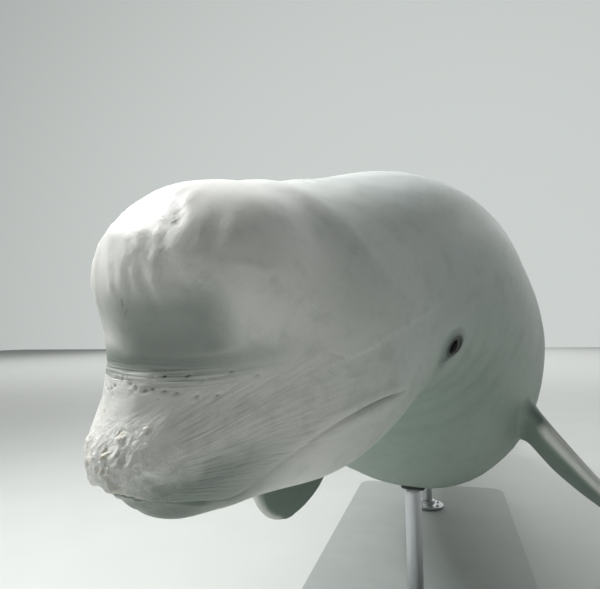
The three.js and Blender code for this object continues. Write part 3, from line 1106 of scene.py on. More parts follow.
@dataclass(frozen=True)
class Flukes:
    """The tail's flukes: swept leading edges, and full trailing edges behind a notch."""

    half: float = 0.432
    root: float = 3.425
    sweep: float = 0.285
    notch: float = 3.662
    tip: float = 3.716
    bulge: float = 0.092
    rounding: float = 0.044
    thick: float = 0.044
    tip_thick: float = 0.007
    droop: float = 0.016
    rings: int = 38
    sides: int = 48

    def section(self, across: float) -> Section:
        """The section at a share of the half span, negative on the right.

        Args:
            across: The share.

        Returns:
            The section.
        """
        s = min(abs(across), 1.0)
        rounded = 1 - math.sqrt(1 - s * s)
        leading = self.root + self.sweep * (0.7 * s**1.35 + 0.3 * rounded)
        level = self.notch + (self.tip + self.rounding - self.notch) * s
        trailing = level + self.bulge * math.sin(math.pi * s**0.7) - self.rounding * rounded
        chord = max(trailing - leading, 0.012)
        centre = np.array([leading + chord / 2, across * self.half, -self.droop * s * s])
        thick = self.tip_thick + (self.thick - self.tip_thick) * (1 - s) ** 0.8
        return Section(centre, chord, thick, np.array([1.0, 0, 0]), np.array([0, 0, 1.0]))

    def shell(self) -> Shell:
        """Both flukes as one form.

        Returns:
            The closed form.
        """
        half = np.sin(np.linspace(0, math.pi / 2, self.rings)) ** 0.9
        spans = np.concatenate([-half[:0:-1], half])
        return loft([self.section(float(s)).ring(self.sides) for s in spans])


@dataclass(frozen=True)
class Ridge:
    """The low, notched ridge along the back, where other whales have a fin."""

    start: float = 1.64
    end: float = 2.23
    half: float = 0.017
    height: float = 0.022
    sunk: float = 0.026
    notches: int = 13
    depth: float = 0.16
    rings: int = 130
    sides: int = 10

    def shell(self, form: WhaleForm) -> Shell:
        """The ridge, its foot sunk in the back.

        Args:
            form: The whale's form.

        Returns:
            The closed form.
        """
        rings = []
        angle = around(self.sides)
        for t in np.linspace(0.004, 0.996, self.rings):
            back = self.start + (self.end - self.start) * t
            ease = math.sin(math.pi * t) ** 0.6
            notch = 1 + self.depth * math.sin(2 * math.pi * self.notches * t)
            top = float(form.size(np.array([back]), 2)[0])
            reach = np.where(np.cos(angle) > 0, self.sunk + self.height * ease * notch, self.sunk)
            left = self.half * ease * np.sin(angle)
            up = top - self.sunk + reach * ease * np.cos(angle)
            rings.append(np.stack([np.full(self.sides, back), left, up], axis=1))
        return loft(rings)


# Relief of the skin


@dataclass
class Relief:
    """The skin's straight vertices and form, and what the details do to them."""

    p: Array
    form: WhaleForm
    height: Array
    marks: dict[str, Array]

    def mark(self, name: str, amount: Array, at: Any = slice(None)) -> None:
        """Raises a mark to at least the given amount, everywhere or at some vertices."""
        self.marks[name][at] = np.maximum(self.marks[name][at], amount)


@dataclass(frozen=True)
class Trace:
    """A line on the skin, with its tangent's crosswise direction in the skin."""

    line: Array
    across: Array

    @staticmethod
    def along(line: Array, form: WhaleForm, towards: Place) -> "Trace":
        """The trace of a line on the skin.

        Args:
            line: The line's points, one row each.
            form: The form that they lie on.
            towards: Where the crosswise direction is to point.

        Returns:
            The trace.
        """
        across = unit(np.cross(np.gradient(line, axis=0), unit(form.slope(line))))
        turned = np.sign(across @ np.array(towards))
        return Trace(line, across * np.where(turned == 0, 1, turned)[:, None])

    def measure(self, p: Array, within: float) -> tuple[Array, Array, Array]:
        """How the points lie to the line.

        Args:
            p: The points.
            within: Points farther off than this aren't measured.

        Returns:
            The distance, the distance across with its sign, and the share along the line.
        """
        tree = tree_of(self.line)
        distance = np.full(len(p), FAR)
        across = np.full(len(p), FAR)
        share = np.zeros(len(p))
        low, high = self.line.min(0) - within, self.line.max(0) + within
        for k in np.flatnonzero(((p > low) & (p < high)).all(axis=1)):
            _, i, distance[k] = tree.find(p[k])
            across[k] = (p[k] - self.line[i]) @ self.across[i]
            share[k] = i / (len(self.line) - 1)
        return distance, across, share


@dataclass(frozen=True)
class Mouth:
    """The mouth: a line round the front of the snout, between soft lips."""

    # Height of the line at distances behind the snout
    rows: Rows = (
        (-0.08, -0.045), (0.002, -0.047), (0.011, -0.056), (0.024, -0.064), (0.039, -0.072),
        (0.056, -0.082), (0.072, -0.088), (0.088, -0.084), (0.11, -0.07), (0.15, -0.057),
        (0.205, -0.057), (0.265, -0.069),
    )
    # How far the line is open at distances behind the snout
    open_rows: Rows = (
        (0.0, 1.3), (0.05, 1.2), (0.075, 0.55), (0.13, 0.32), (0.16, 0.55), (0.21, 1.0),
        (0.27, 0.85),
    )
    # The upright axis that the line swings round, how far, and in how many steps
    hub: float = 0.2
    swing: float = 1.99
    steps: int = 700
    farthest: float = 0.3
    # The groove, and the share of its depth at the mouth's corners
    depth: float = 0.0042
    width: float = 0.0018
    reach: float = 0.036
    corner: float = 0.05
    corner_depth: float = 0.35
    # The lips' height, the lower lip's share of it, and their offset and width
    lip: float = 0.0012
    lower_lip: float = 0.75
    lip_offset: float = 0.0085
    lip_width: float = 0.0055
    # The chin's step back under the front of the upper lip
    front: Span = (0.085, 0.045)
    recess: float = 0.005
    recess_top: Span = (0.0015, -0.0025)
    recess_foot: Span = (-0.036, -0.012)
    # How dark the groove and the step back are painted, as painted shade
    dark: float = 0.62
    shade: float = 1.3
    shade_foot: Span = (-0.026, -0.008)

    def trace(self, form: WhaleForm) -> Trace:
        """The mouth's line, from the right corner round to the left one.

        Args:
            form: The form that it is drawn on.

        Returns:
            The line's trace.
        """
        swing = np.linspace(-self.swing, self.swing, self.steps)
        table = np.array(self.rows)
        near, far = np.zeros(self.steps), np.full(self.steps, self.farthest)
        for _ in range(HALVINGS):
            r = (near + far) / 2
            back = self.hub - r * np.cos(swing)
            p = np.stack([back, r * np.sin(swing), curve_at(table, back, 1)], axis=1)
            inside = form.field(p) < 0
            near, far = np.where(inside, r, near), np.where(inside, far, r)
        return Trace.along(p, form, UP)

    def carve(self, relief: Relief) -> None:
        """Cuts the mouth's line, raises the lips, sets back the chin and paints shade in the line
        and under the lip.

        Args:
            relief: The skin; takes the height and the marks.
        """
        p, form = relief.p, relief.form
        distance, across, share = self.trace(form).measure(p, self.reach)
        near = distance < self.reach
        ends = band(share, (0, self.corner), (1, 1 - self.corner))
        opened = curve_at(np.array(self.open_rows), p[:, 0], 1)
        groove = hump(distance, self.width) * between(self.corner_depth, 1, ends) * opened
        above = hump(across - self.lip_offset, self.lip_width) * near
        below = hump(across + self.lip_offset, self.lip_width) * near
        front = smoothstep(*self.front, p[:, 0])
        under = band(across, self.recess_top, self.recess_foot) * near
        relief.height -= self.depth * groove + self.recess * front * under
        relief.height += self.lip * ends * (1 - front) * (above + self.lower_lip * below)
        # Painted shade in the mouth's line and on the chin under the front of the upper lip
        relief.mark("crease", self.dark * groove)
        relief.mark("shade", self.shade * front * smoothstep(*self.shade_foot, across) * under)


@dataclass(frozen=True)
class MelonCrease:
    """The fold under the melon, with fine ridges beside it and pits below it."""

    # Height of the fold at distances to the side of the middle
    rows: Rows = (
        (0.0, 0.041), (0.02, 0.0415), (0.051, 0.036), (0.073, 0.031), (0.085, 0.027),
        (0.103, 0.02), (0.115, 0.015), (0.128, 0.009), (0.139, 0.004),
    )
    # Pits: distance to the side of the middle and up, half length and depth
    pits: Rows = (
        (0.039, 0.035, 0.0024, 1.0), (0.01, 0.031, 0.0016, 0.9), (0.016, 0.028, 0.0016, 0.9),
        (0.025, 0.026, 0.003, 0.9), (0.031, 0.027, 0.0028, 0.9), (0.04, 0.024, 0.0034, 0.8),
        (0.049, 0.021, 0.0034, 0.7), (0.055, 0.032, 0.0036, 0.9), (0.061, 0.015, 0.0028, 0.7),
        (0.072, 0.011, 0.0026, 0.7), (0.079, 0.026, 0.0034, 0.7), (-0.009, 0.035, 0.0014, 0.6),
        (0.0, 0.036, 0.0014, 0.6), (0.005, 0.036, 0.0014, 0.6), (0.03, 0.035, 0.0016, 0.5),
        (0.012, 0.024, 0.0018, 0.5), (0.036, 0.019, 0.0026, 0.5), (0.064, 0.026, 0.0026, 0.5),
        (0.091, 0.016, 0.003, 0.5),
    )
    half: float = 0.137
    steps: int = 500
    inside: float = 0.3
    # The groove and the swelling over it, and where along the fold they are full
    depth: float = 0.0012
    width: float = 0.003
    reach: float = 0.045
    swell: float = 0.0016
    swell_offset: float = 0.018
    swell_width: float = 0.011
    full_from: Span = (0.04, 0.3)
    full_to: Span = (0.96, 0.7)
    broken: float = 0.6
    broken_size: float = 0.02
    broken_seed: int = 12
    # How dark the groove, the band over it and the melon's front are painted, as painted shade,
    # more on the melon's left side
    dark: float = 0.36
    shade: float = 0.9
    shade_offset: float = 0.008
    shade_width: float = 0.013
    brow_foot: Span = (0.035, 0.05)
    brow_top: Span = (0.118, 0.085)
    brow_back: Span = (0.16, 0.085)
    brow_left: Span = (0.1, 0.07)
    brow_turn: Span = (-0.035, 0.012)
    brow_shade: Span = (0.25, 0.8)
    # The pits' size, darkness, painted as shade, and how far they are shifted on the right side
    pit_high: float = 0.0013
    pit_depth: float = 0.002
    pit_dark: float = 0.95
    shift: Span = (0.001, 0.005)
    seed: int = 11

    def trace(self, form: WhaleForm) -> Trace:
        """The fold's line, from the whale's right to its left.

        Args:
            form: The form that it is drawn on.

        Returns:
            The line's trace.
        """
        left = np.linspace(-self.half, self.half, self.steps)
        up = curve_at(np.array(self.rows), np.abs(left), 1)
        origins = np.stack([np.full(self.steps, self.inside), left, up], axis=1)
        return Trace.along(form.reach(origins, np.tile(FORWARD, (self.steps, 1))), form, UP)

    def carve(self, relief: Relief) -> None:
        """Presses in the fold and its pits, and paints shade in them and on the melon over it.

        Args:
            relief: The skin; takes the height and the marks.
        """
        p, form = relief.p, relief.form
        distance, across, share = self.trace(form).measure(p, self.reach)
        near = distance < self.reach
        middle = band(share, self.full_from, self.full_to)
        noise = lattice_noise(p, self.broken_size, self.broken_seed)
        groove = hump(distance, self.width) * middle * (self.broken + (1 - self.broken) * noise)
        above = hump(across - self.swell_offset, self.swell_width) * near
        relief.height += self.swell * middle * above - self.depth * groove
        # Painted shade in the groove, and in a band over it under the melon's overhang
        relief.mark("crease", self.dark * groove)
        over = hump(across - self.shade_offset, self.shade_width)
        relief.mark("shade", self.shade * over * middle * near)
        back, left, up = p.T
        # Painted shade on the melon's front, stronger on its left side
        brow = band(up, self.brow_foot, self.brow_top)
        brow *= smoothstep(*self.brow_back, back) * smoothstep(*self.brow_left, left)
        relief.mark("shade", brow * between(*self.brow_shade, smoothstep(*self.brow_turn, left)))
        random = np.random.default_rng(self.seed)
        for side in Side:
            inward, down = (0.0, 0.0) if side is Side.LEFT else random.uniform(*self.shift, 2)
            for at, high, long, deep in self.pits:
                start = np.array([[self.inside, side.value * (at + inward), high - down]])
                self.prick(relief, form.reach(start, np.array([FORWARD])), (long, deep))

    def prick(self, relief: Relief, centre: Array, size: Span) -> None:
        """Presses one small oval pit into the skin, its long way level, and paints shade in it.

        Args:
            relief: The skin; takes the height and the mark.
            centre: The pit's place on the skin, as one row.
            size: The pit's half length, and its share of the full depth.
        """
        long, deep = size
        away = relief.p - centre
        along = unit(np.cross(unit(relief.form.slope(centre)), np.array([UP])))[0]
        lengthwise = away @ along
        crosswise = np.linalg.norm(away - np.outer(lengthwise, along), axis=1)
        pit = deep * hump(np.hypot(lengthwise / long, crosswise / self.pit_high), 1.0)
        relief.height -= self.pit_depth * pit
        # Painted shade in the pit
        relief.mark("crease", self.pit_dark * pit)


@dataclass(frozen=True)
class SnoutWear:
    """The rough, worn skin of the snout's front and the wrinkles of the melon."""

    # Worn, flaking places: distance behind the snout, left and up, radius, and wear
    scabs: Rows = (
        (0.018, 0.014, -0.001, 0.007, 0.9), (0.008, 0.005, -0.013, 0.007, 0.9),
        (0.027, 0.018, 0.007, 0.004, 0.5), (0.032, 0.034, 0.001, 0.004, 0.4),
        (0.001, 0.008, -0.028, 0.009, 0.7), (0.003, 0.02, -0.042, 0.009, 0.5),
        (0.012, 0.03, -0.05, 0.007, 0.3), (0.004, -0.014, -0.02, 0.008, 0.6),
        (0.014, -0.03, -0.012, 0.009, 0.5), (0.01, -0.024, -0.04, 0.009, 0.5),
        (0.03, -0.024, 0.01, 0.006, 0.4),
    )
    scab_edge: Span = (1.25, 0.75)
    # Roughness of the snout's front
    rough: float = 0.0019
    coarse_size: float = 0.0085
    coarse_seed: int = 3
    fine_size: float = 0.0042
    fine_seed: int = 4
    front_back: Span = (0.034, 0.006)
    front_up: Span = (0.02, -0.012)
    # Strands over the snout's flank: their height, thickness, length and depth inwards
    stroke: float = 0.0009
    stroke_size: Place = (0.0065, 0.024, 0.016)
    stroke_seed: int = 7
    flank_from: Span = (0.0, 0.03)
    flank_to: Span = (0.11, 0.06)
    flank_top: Span = (0.03, 0.012)
    flank_foot: Span = (-0.075, -0.045)
    # Painted shade on the snout's underside
    shade: float = 0.95
    under_up: Span = (-0.022, -0.054)
    under_back: Span = (0.15, 0.04)
    under_front: Span = (-0.006, 0.02)
    under_ragged: float = 0.004
    # Soft folds that hang down the melon's front, and webs between them
    wrinkle: float = 0.0034
    melon_up: Span = (0.078, 0.112)
    melon_back: Span = (0.175, 0.1)
    bend: float = 0.012
    bend_size: float = 0.045
    bend_seed: int = 8
    lean: float = 0.25
    lean_from: float = 0.1
    fold_size: Span = (0.0105, 0.04)
    fold_seed: int = 9
    web_size: Span = (0.014, 0.02)
    web_lean: float = 0.4
    web_seed: int = 10
    inward: float = 5.0

    def carve(self, relief: Relief) -> None:
        """Roughens the snout, paints shade on its underside and folds the melon's front in soft
        strands.

        Args:
            relief: The skin; takes the height and the marks.
        """
        p = relief.p
        back, left, up = p.T
        coarse = lattice_noise(p, self.coarse_size, self.coarse_seed)
        fine = lattice_noise(p, self.fine_size, self.fine_seed)
        front = smoothstep(*self.front_back, back) * smoothstep(*self.front_up, up)
        relief.height += self.rough * front * (0.8 * coarse + 0.6 * fine)
        flank = band(back, self.flank_from, self.flank_to)
        flank *= band(up, self.flank_top, self.flank_foot)
        grain = np.stack([up - back, up + back, left], axis=1) / np.array(self.stroke_size)
        relief.height += self.stroke * flank * lattice_noise(grain, 1.0, self.stroke_seed)
        worn = np.zeros(len(p))
        for *centre, radius, wear in self.scabs:
            ragged = radius * (0.85 + 0.45 * coarse + 0.3 * fine)
            share = np.linalg.norm(p - np.array(centre), axis=1) / ragged
            worn = np.maximum(worn, wear * smoothstep(*self.scab_edge, share))
        relief.height += worn * self.rough * (0.6 + 1.3 * fine - 1.1 * np.abs(coarse))
        relief.mark("scab", worn)
        # Painted shade on the snout's underside
        under = smoothstep(*self.under_up, up + self.under_ragged * coarse)
        under *= band(back, self.under_front, self.under_back)
        relief.mark("shade", self.shade * under)
        self.wrinkle_melon(relief)

    def wrinkle_melon(self, relief: Relief) -> None:
        """Folds the melon's front.

        Args:
            relief: The skin; takes the height.
        """
        back, left, up = relief.p.T
        melon = smoothstep(*self.melon_up, up) * smoothstep(*self.melon_back, back)
        wander = self.bend * lattice_noise(relief.p, self.bend_size, self.bend_seed)
        bent = left + wander + self.lean * (up - self.lean_from)
        layers = []
        for side, (wide, tall), seed in (
            (bent, self.fold_size, self.fold_seed),
            (bent + self.web_lean * up, self.web_size, self.web_seed),
        ):
            grain = np.stack([side / wide, up / tall, back * self.inward], axis=1)
            layers.append(1 - np.abs(lattice_noise(grain, 1.0, seed)))
        folds, webs = layers
        relief.height += self.wrinkle * melon * (0.7 * folds**3 + 0.5 * webs**4)


@dataclass(frozen=True)
class Scratches:
    """Old scratches in the skin, each a short line, and how deep it is."""

    lines: tuple[tuple[tuple[Place, ...], float], ...] = (
        (
            ((0.07, 0.002, 0.1), (0.069, -0.001, 0.094), (0.07, 0.003, 0.089), (0.071, 0.0, 0.084)),
            0.9,
        ),
        (((0.175, 0.127, 0.011), (0.179, 0.13, 0.007), (0.185, 0.133, 0.003)), 0.5),
        (((0.211, 0.137, -0.08), (0.213, 0.137, -0.081)), 0.9),
        (((0.262, 0.146, -0.08), (0.272, 0.147, -0.087), (0.281, 0.147, -0.096)), 0.7),
        (((0.24, -0.14, 0.02), (0.262, -0.146, 0.03), (0.285, -0.15, 0.034)), 0.5),
        (((0.33, 0.12, 0.1), (0.352, 0.118, 0.112), (0.37, 0.122, 0.116)), 0.4),
        (((1.45, 0.3, 0.12), (1.53, 0.31, 0.13), (1.6, 0.3, 0.15)), 1.0),
        (((1.9, -0.28, 0.1), (1.98, -0.27, 0.12), (2.05, -0.27, 0.125)), 1.0),
    )
    steps: int = 40
    depth: float = 0.0011
    width: float = 0.0015
    reach: float = 0.006
    # How dark a scratch is painted, as painted shade in its groove
    dark: float = 0.6
    # Behind here the skin's vertices lie farther apart, so a scratch is wider
    broad_from: float = 1.0
    broad: float = 2.4

    def carve(self, relief: Relief) -> None:
        """Scores each scratch into the skin and paints shade in it.

        Args:
            relief: The skin; takes the height and the mark.
        """
        p, form = relief.p, relief.form
        for corners, strength in self.lines:
            table = np.array(corners)
            at = np.linspace(0, len(table) - 1, self.steps)
            rows = np.column_stack([np.arange(len(table), dtype=float), table])
            line = form.settle(np.stack([curve_at(rows, at, i) for i in (1, 2, 3)], axis=1))
            distance = Trace.along(line, form, UP).measure(p, self.reach)[0]
            wide = self.width * (self.broad if table[0, 0] > self.broad_from else 1.0)
            scored = strength * hump(distance, wide)
            relief.height -= self.depth * scored
            # Painted shade in the scratch
            relief.mark("crease", self.dark * scored)


@dataclass(frozen=True)
class EyePlace:
    """The eye's place low on the side of the head, its ball and the opening of its lids."""

    back: float = 0.397
    up: float = -0.069
    # The ball, and how far it stands out of the skin
    radius: float = 0.016
    bulge: float = 0.0058
    # The opening's half length, half height and tilt
    long: float = 0.0165
    high: float = 0.0098
    tilt: float = -0.16
    # The lids' height over the skin at shares of the opening's half size
    lids: Rows = (
        (0.0, -0.009), (0.8, -0.008), (0.93, -0.001), (1.02, 0.0027), (1.22, 0.0036),
        (1.55, 0.0024), (2.0, 0.0006), (2.5, -0.0006), (3.1, 0.0),
    )
    reach: float = 0.07
    crease_edge: Span = (1.75, 1.3)
    # The oval ring of folds under the eye: its half length, half height and drop
    ring_long: float = 0.034
    ring_high: float = 0.026
    ring_drop: float = 0.002
    # Folds along the ring: place, width and height, in shares of the ring and metres
    ring_folds: Rows = ((1.0, 0.11, -0.0009), (1.42, 0.1, -0.00054), (0.78, 0.14, 0.0007))
    ring_below: Span = (0.15, -0.5)
    # Fine folds that spread from the corners
    crow_height: float = 0.0003
    crow_step: float = 0.0034
    crow_slant: float = 4 / 0.03
    crow_from: Span = (0.016, 0.028)
    crow_to: Span = (0.06, 0.03)
    crow_high: float = 0.014
    # Shade in front of and under the eye, and on the lids
    dark: float = 0.7
    dark_place: Span = (-0.012, -0.02)
    dark_size: Span = (0.024, 0.016)
    lid_dark: float = 0.9
    lid_place: Span = (1.2, 0.9)

    def frame(self, form: WhaleForm, side: Side) -> tuple[Array, Array, Array, Array]:
        """Where one eye sits.

        Args:
            form: The form that it sits in.
            side: The whale's side.

        Returns:
            The skin's point at the eye, and the directions outward, along and up.
        """
        origin = np.array([[self.back, 0.0, self.up]])
        skin = form.reach(origin, np.array([[0.0, float(side.value), 0.0]]))
        out = unit(form.slope(skin))[0]
        up = np.array(UP) - out * out[2]
        up /= np.linalg.norm(up)
        along = np.array([1.0, 0.0, 0.0]) - out * out[0]
        along -= up * (along @ up)
        along /= np.linalg.norm(along)
        turned = along * math.cos(self.tilt) + up * math.sin(self.tilt)
        risen = up * math.cos(self.tilt) - along * math.sin(self.tilt)
        return skin[0], out, turned, risen

    def carve(self, relief: Relief) -> None:
        """Opens the lids of both eyes, folds the skin round them and paints shade in the openings,
        on the lids and in front of and under the eyes.

        Args:
            relief: The skin; takes the height and the marks.
        """
        p, form = relief.p, relief.form
        lids = np.array(self.lids)
        for side in Side:
            skin, _, along, up = self.frame(form, side)
            near = np.flatnonzero(np.linalg.norm(p - skin, axis=1) < self.reach)
            a, b = (p[near] - skin) @ along, (p[near] - skin) @ up
            share = np.hypot(a / self.long, b / self.high)
            ring = np.hypot(a / self.ring_long, (b + self.ring_drop) / self.ring_high)
            below = smoothstep(*self.ring_below, b / self.ring_high)
            height = np.interp(share, lids[:, 0], lids[:, 1])
            for at, width, rise in self.ring_folds:
                height += rise * hump(ring - at, width) * below
            crow = np.cos(b / self.crow_step + self.crow_slant * a) * hump(b, self.crow_high)
            height += self.crow_height * crow * band(np.abs(a), self.crow_from, self.crow_to)
            relief.height[near] += height
            # Painted shade in the eye's opening and on the lids' outer slopes
            relief.mark("crease", smoothstep(*self.crease_edge, share), near)
            spot = (np.stack([a, b], axis=1) - np.array(self.dark_place)) / self.dark_size
            dark = self.dark * hump(np.linalg.norm(spot, axis=1), 1.0)
            at, width = self.lid_place
            relief.mark("shade", dark + self.lid_dark * hump(share - at, width), near)


@dataclass(frozen=True)
class Blowhole:
    """The blowhole: a crescent across the crown, its horns forward."""

    back: float = 0.338
    left: float = 0.008
    half: float = 0.03
    bow: float = 0.016
    steps: int = 160
    depth: float = 0.009
    width: float = 0.0036
    end_depth: float = 0.3
    reach: float = 0.03
    rim: float = 0.0016
    rim_offset: float = 0.0085
    rim_width: float = 0.005
    rim_end: float = 0.4

    def carve(self, relief: Relief) -> None:
        """Cuts the crescent, raises its rim and paints shade in the crescent.

        Args:
            relief: The skin; takes the height and the mark.
        """
        p, form = relief.p, relief.form
        u = np.linspace(-1, 1, self.steps)
        origins = np.stack([self.back - self.bow * u**2, self.left + self.half * u, 0 * u], axis=1)
        line = form.reach(origins, np.tile(UP, (self.steps, 1)))
        distance, across, share = Trace.along(line, form, BACKWARD).measure(p, self.reach)
        ends = np.sqrt(np.clip(4 * share * (1 - share), 0, 1))
        groove = hump(distance, self.width) * between(self.end_depth, 1, ends)
        rim = hump(np.abs(across) - self.rim_offset, self.rim_width) * (distance < self.reach)
        relief.height += self.rim * rim * between(self.rim_end, 1, ends) - self.depth * groove
        # Painted shade in the crescent
        relief.mark("crease", groove)


@dataclass(frozen=True)
class Folds:
    """Soft folds round the neck, and the low undulation of the blubber."""

    # Distance behind the snout, depth, and half width of each fold
    rows: Rows = (
        (0.452, 0.0006, 0.01), (0.503, 0.0013, 0.013), (0.562, 0.0016, 0.015),
        (0.63, 0.0012, 0.017),
    )
    inside: Span = (0.09, -0.1)
    slant: float = 0.35
    wander: float = 0.012
    wander_size: float = 0.11
    wander_seed: int = 21
    lean: float = 0.05
    broken: float = 0.65
    broken_size: float = 0.09
    broken_seed: int = 30
    shade: float = 0.25
    # Undulation: cell size, seed, and height on the head and on the body
    waves: Rows = ((0.17, 41, 0.0005, 0.0027), (0.06, 42, 0.0003, 0.001), (0.026, 43, 0.0004, 0.0))
    body_from: Span = (0.4, 0.9)

    def carve(self, relief: Relief) -> None:
        """Presses the folds into the throat and the inside of the neck's turn, and paints shade in
        them.

        Args:
            relief: The skin; takes the height and the mark.
        """
        p = relief.p
        back, left, up = p.T
        inside = smoothstep(*self.inside, up + self.slant * left)
        wander = self.wander * lattice_noise(p, self.wander_size, self.wander_seed)
        bent = back + wander + self.lean * up
        for i, (at, depth, width) in enumerate(self.rows):
            noise = lattice_noise(p, self.broken_size, self.broken_seed + i)
            fold = hump(bent - at, width) * inside * (self.broken + (1 - self.broken) * noise)
            relief.height -= depth * fold
            # Painted shade in the fold
            relief.mark("shade", self.shade * fold)
        body = smoothstep(*self.body_from, back)
        for size, seed, head_height, body_height in self.waves:
            relief.height += between(head_height, body_height, body) * lattice_noise(p, size, seed)


@dataclass(frozen=True)
class BellySlits:
    """The navel and the slit behind it, on the middle of the belly."""

    # Distance behind the snout, half length and depth
    rows: Rows = (
        (1.86, 0.018, 0.004), (2.5, 0.075, 0.006), (2.68, 0.014, 0.004),
    )
    width: float = 0.005
    lip: float = 0.3
    lip_offset: float = 0.014
    lip_width: float = 0.008
    # How dark the slits are painted, as painted shade
    dark: float = 0.7
    below: float = -0.05

    def carve(self, relief: Relief) -> None:
        """Cuts each slit along the belly's middle and paints shade in it.

        Args:
            relief: The skin; takes the height and the mark.
        """
        p = relief.p
        below = p[:, 2] < self.below
        for at, half, depth in self.rows:
            distance = np.hypot(np.maximum(np.abs(p[:, 0] - at) - half, 0), p[:, 1])
            slit = hump(distance, self.width) * below
            lip = hump(distance - self.lip_offset, self.lip_width) * below
            relief.height += depth * (self.lip * lip - slit)
            # Painted shade in the slit
            relief.mark("crease", self.dark * slit)


@dataclass(frozen=True)
class Whale:
    """The whale's body and fins, as one skin, and its two eyes."""

    form: WhaleForm = WhaleForm()
    spine: Spine = Spine()
    grid: SkinGrid = SkinGrid()
    mouth: Mouth = Mouth()
    crease: MelonCrease = MelonCrease()
    wear: SnoutWear = SnoutWear()
    scratches: Scratches = Scratches()
    eye: EyePlace = EyePlace()
    blowhole: Blowhole = Blowhole()
    folds: Folds = Folds()
    slits: BellySlits = BellySlits()
    flippers: tuple[Flipper, ...] = (
        Flipper(Side.LEFT, (0.96, 0.272, -0.14), 0.7, 0.585, -0.07),
        Flipper(Side.RIGHT, (0.96, 0.272, -0.14), 1.72, 0.715, -0.88),
    )
    flukes: Flukes = Flukes()
    ridge: Ridge = Ridge()
    # Finely divided patches: radius and times, round each eye and each flipper's root
    eye_patches: Rows = ((0.052, 1), (0.028, 2))
    root_patches: Rows = ((0.2, 1), (0.15, 2))
    crown_patch: Span = (0.046, 1)
    crown_ahead: float = 0.005
    slit_margin: float = 0.06
    slit_step: float = 0.012
    # The snout's front, and bands along the mouth and the fold, divided once
    snout_back: Span = (0.12, 0.11)
    snout_up: Span = (0.05, 0.045)
    mouth_band: float = 0.013
    crease_band: float = 0.024
    # Blending of the joins: how near a join is the same point, how far it reaches
    same: float = 2e-6
    shoulders_end: float = 1.4
    tail_start: float = 3.0
    join_reach: Place = (0.042, 0.012, 0.02)
    join_weight: float = 0.6
    join_fade: Span = (1, 0.15)
    join_rounds: int = 26
    # Marks of the fins, for their painted shade, and of the flippers' leading edges, for their
    # painted highlight
    fin_rise: Span = (0.003, 0.02)
    rim_spans: tuple[float, float, int] = (0.15, 0.97, 60)
    rim_fall: Span = (0.024, 0.008)
    # The eyeball: how far round it reaches, its rings and sides
    ball_reach: float = math.radians(118)
    ball_start: float = 0.02
    ball_rings: int = 40
    ball_sides: int = 64

    def patches(self) -> list[Patch]:
        """The round places that are divided more finely.

        Returns:
            The patches.
        """
        found = []
        for side in Side:
            skin = tuple(self.eye.frame(self.form, side)[0])
            found += [Patch(skin, radius, times) for radius, times in self.eye_patches]
        for flipper in self.flippers:
            root = tuple(np.array(flipper.root) * np.array([1, flipper.side.value, 1]))
            found += [Patch(root, radius, times) for radius, times in self.root_patches]
        top = (self.blowhole.back - self.crown_ahead, self.blowhole.left, 0.0)
        found.append(Patch(tuple(self.form.reach_one(top, UP)), *self.crown_patch))
        for at, half, _ in self.slits.rows:
            belly = tuple(self.form.reach_one((at, 0.0, 0.0), DOWN))
            for times in (1, 2, 3):
                found.append(Patch(belly, half + self.slit_margin - self.slit_step * times, times))
        return found

    def body(self) -> Mesh:
        """The smooth body without fins, divided finely where detail goes.

        Returns:
            The closed mesh, in straight coordinates.
        """
        mesh = self.grid.build(self.form).mesh("whale_body")
        patches = self.patches()
        mouth, crease = self.mouth.trace(self.form), self.crease.trace(self.form)

        def wants(p: Array) -> Array:
            """How many times the skin is to be divided at each point.

            Args:
                p: The points, one row each.

            Returns:
                The number of times.
            """
            times = np.maximum.reduce([patch.wants(p) for patch in patches])
            snout = smoothstep(*self.snout_back, p[:, 0]) * smoothstep(*self.snout_up, p[:, 2])
            times = np.maximum(times, snout > 0.5)
            for trace, band_width in ((mouth, self.mouth_band), (crease, self.crease_band)):
                times = np.maximum(times, trace.measure(p, band_width)[0] < band_width)
            return times

        refine(mesh, wants, self.form)
        return mesh

    def joined(self) -> Mesh:
        """The body and fins as one closed mesh, their joins drawn smooth.

        Returns:
            The mesh, in straight coordinates.
        """
        body = added("whale_body", self.body())
        fins = [flipper.shell() for flipper in self.flippers]
        fins += [self.flukes.shell(), self.ridge.shell(self.form)]
        helpers = [body]
        for fin in fins:
            helpers.append(added("fin", fin.mesh("fin")))
            union = body.modifiers.new("join", "BOOLEAN")
            union.operation = "UNION"
            union.solver = "MANIFOLD"
            union.object = helpers[-1]
        before = np.concatenate([points_of(helper.data) for helper in helpers])
        mesh = applied(body)
        for helper in helpers:
            bpy.data.objects.remove(helper)
        self.blend_joins(mesh, before)
        return mesh

    def blend_joins(self, mesh: Mesh, before: Array) -> None:
        """Draws the skin smooth where a fin leaves the body.

        Args:
            mesh: The joined mesh.
            before: The points that the parts had; the others lie on the joins.
        """
        points = points_of(mesh)
        old = tree_of(before)
        joins = tree_of([p for p in points if old.find(p)[2] > self.same])
        distance = np.array([joins.find(p)[2] for p in points])
        front, middle, tail = self.join_reach
        rear = np.where(points[:, 0] < self.tail_start, middle, tail)
        reach = np.where(points[:, 0] < self.shoulders_end, front, rear)
        weight = self.join_weight * smoothstep(*self.join_fade, distance / reach)
        set_points(mesh, smoothed(points, edges_of(mesh), weight, self.join_rounds))

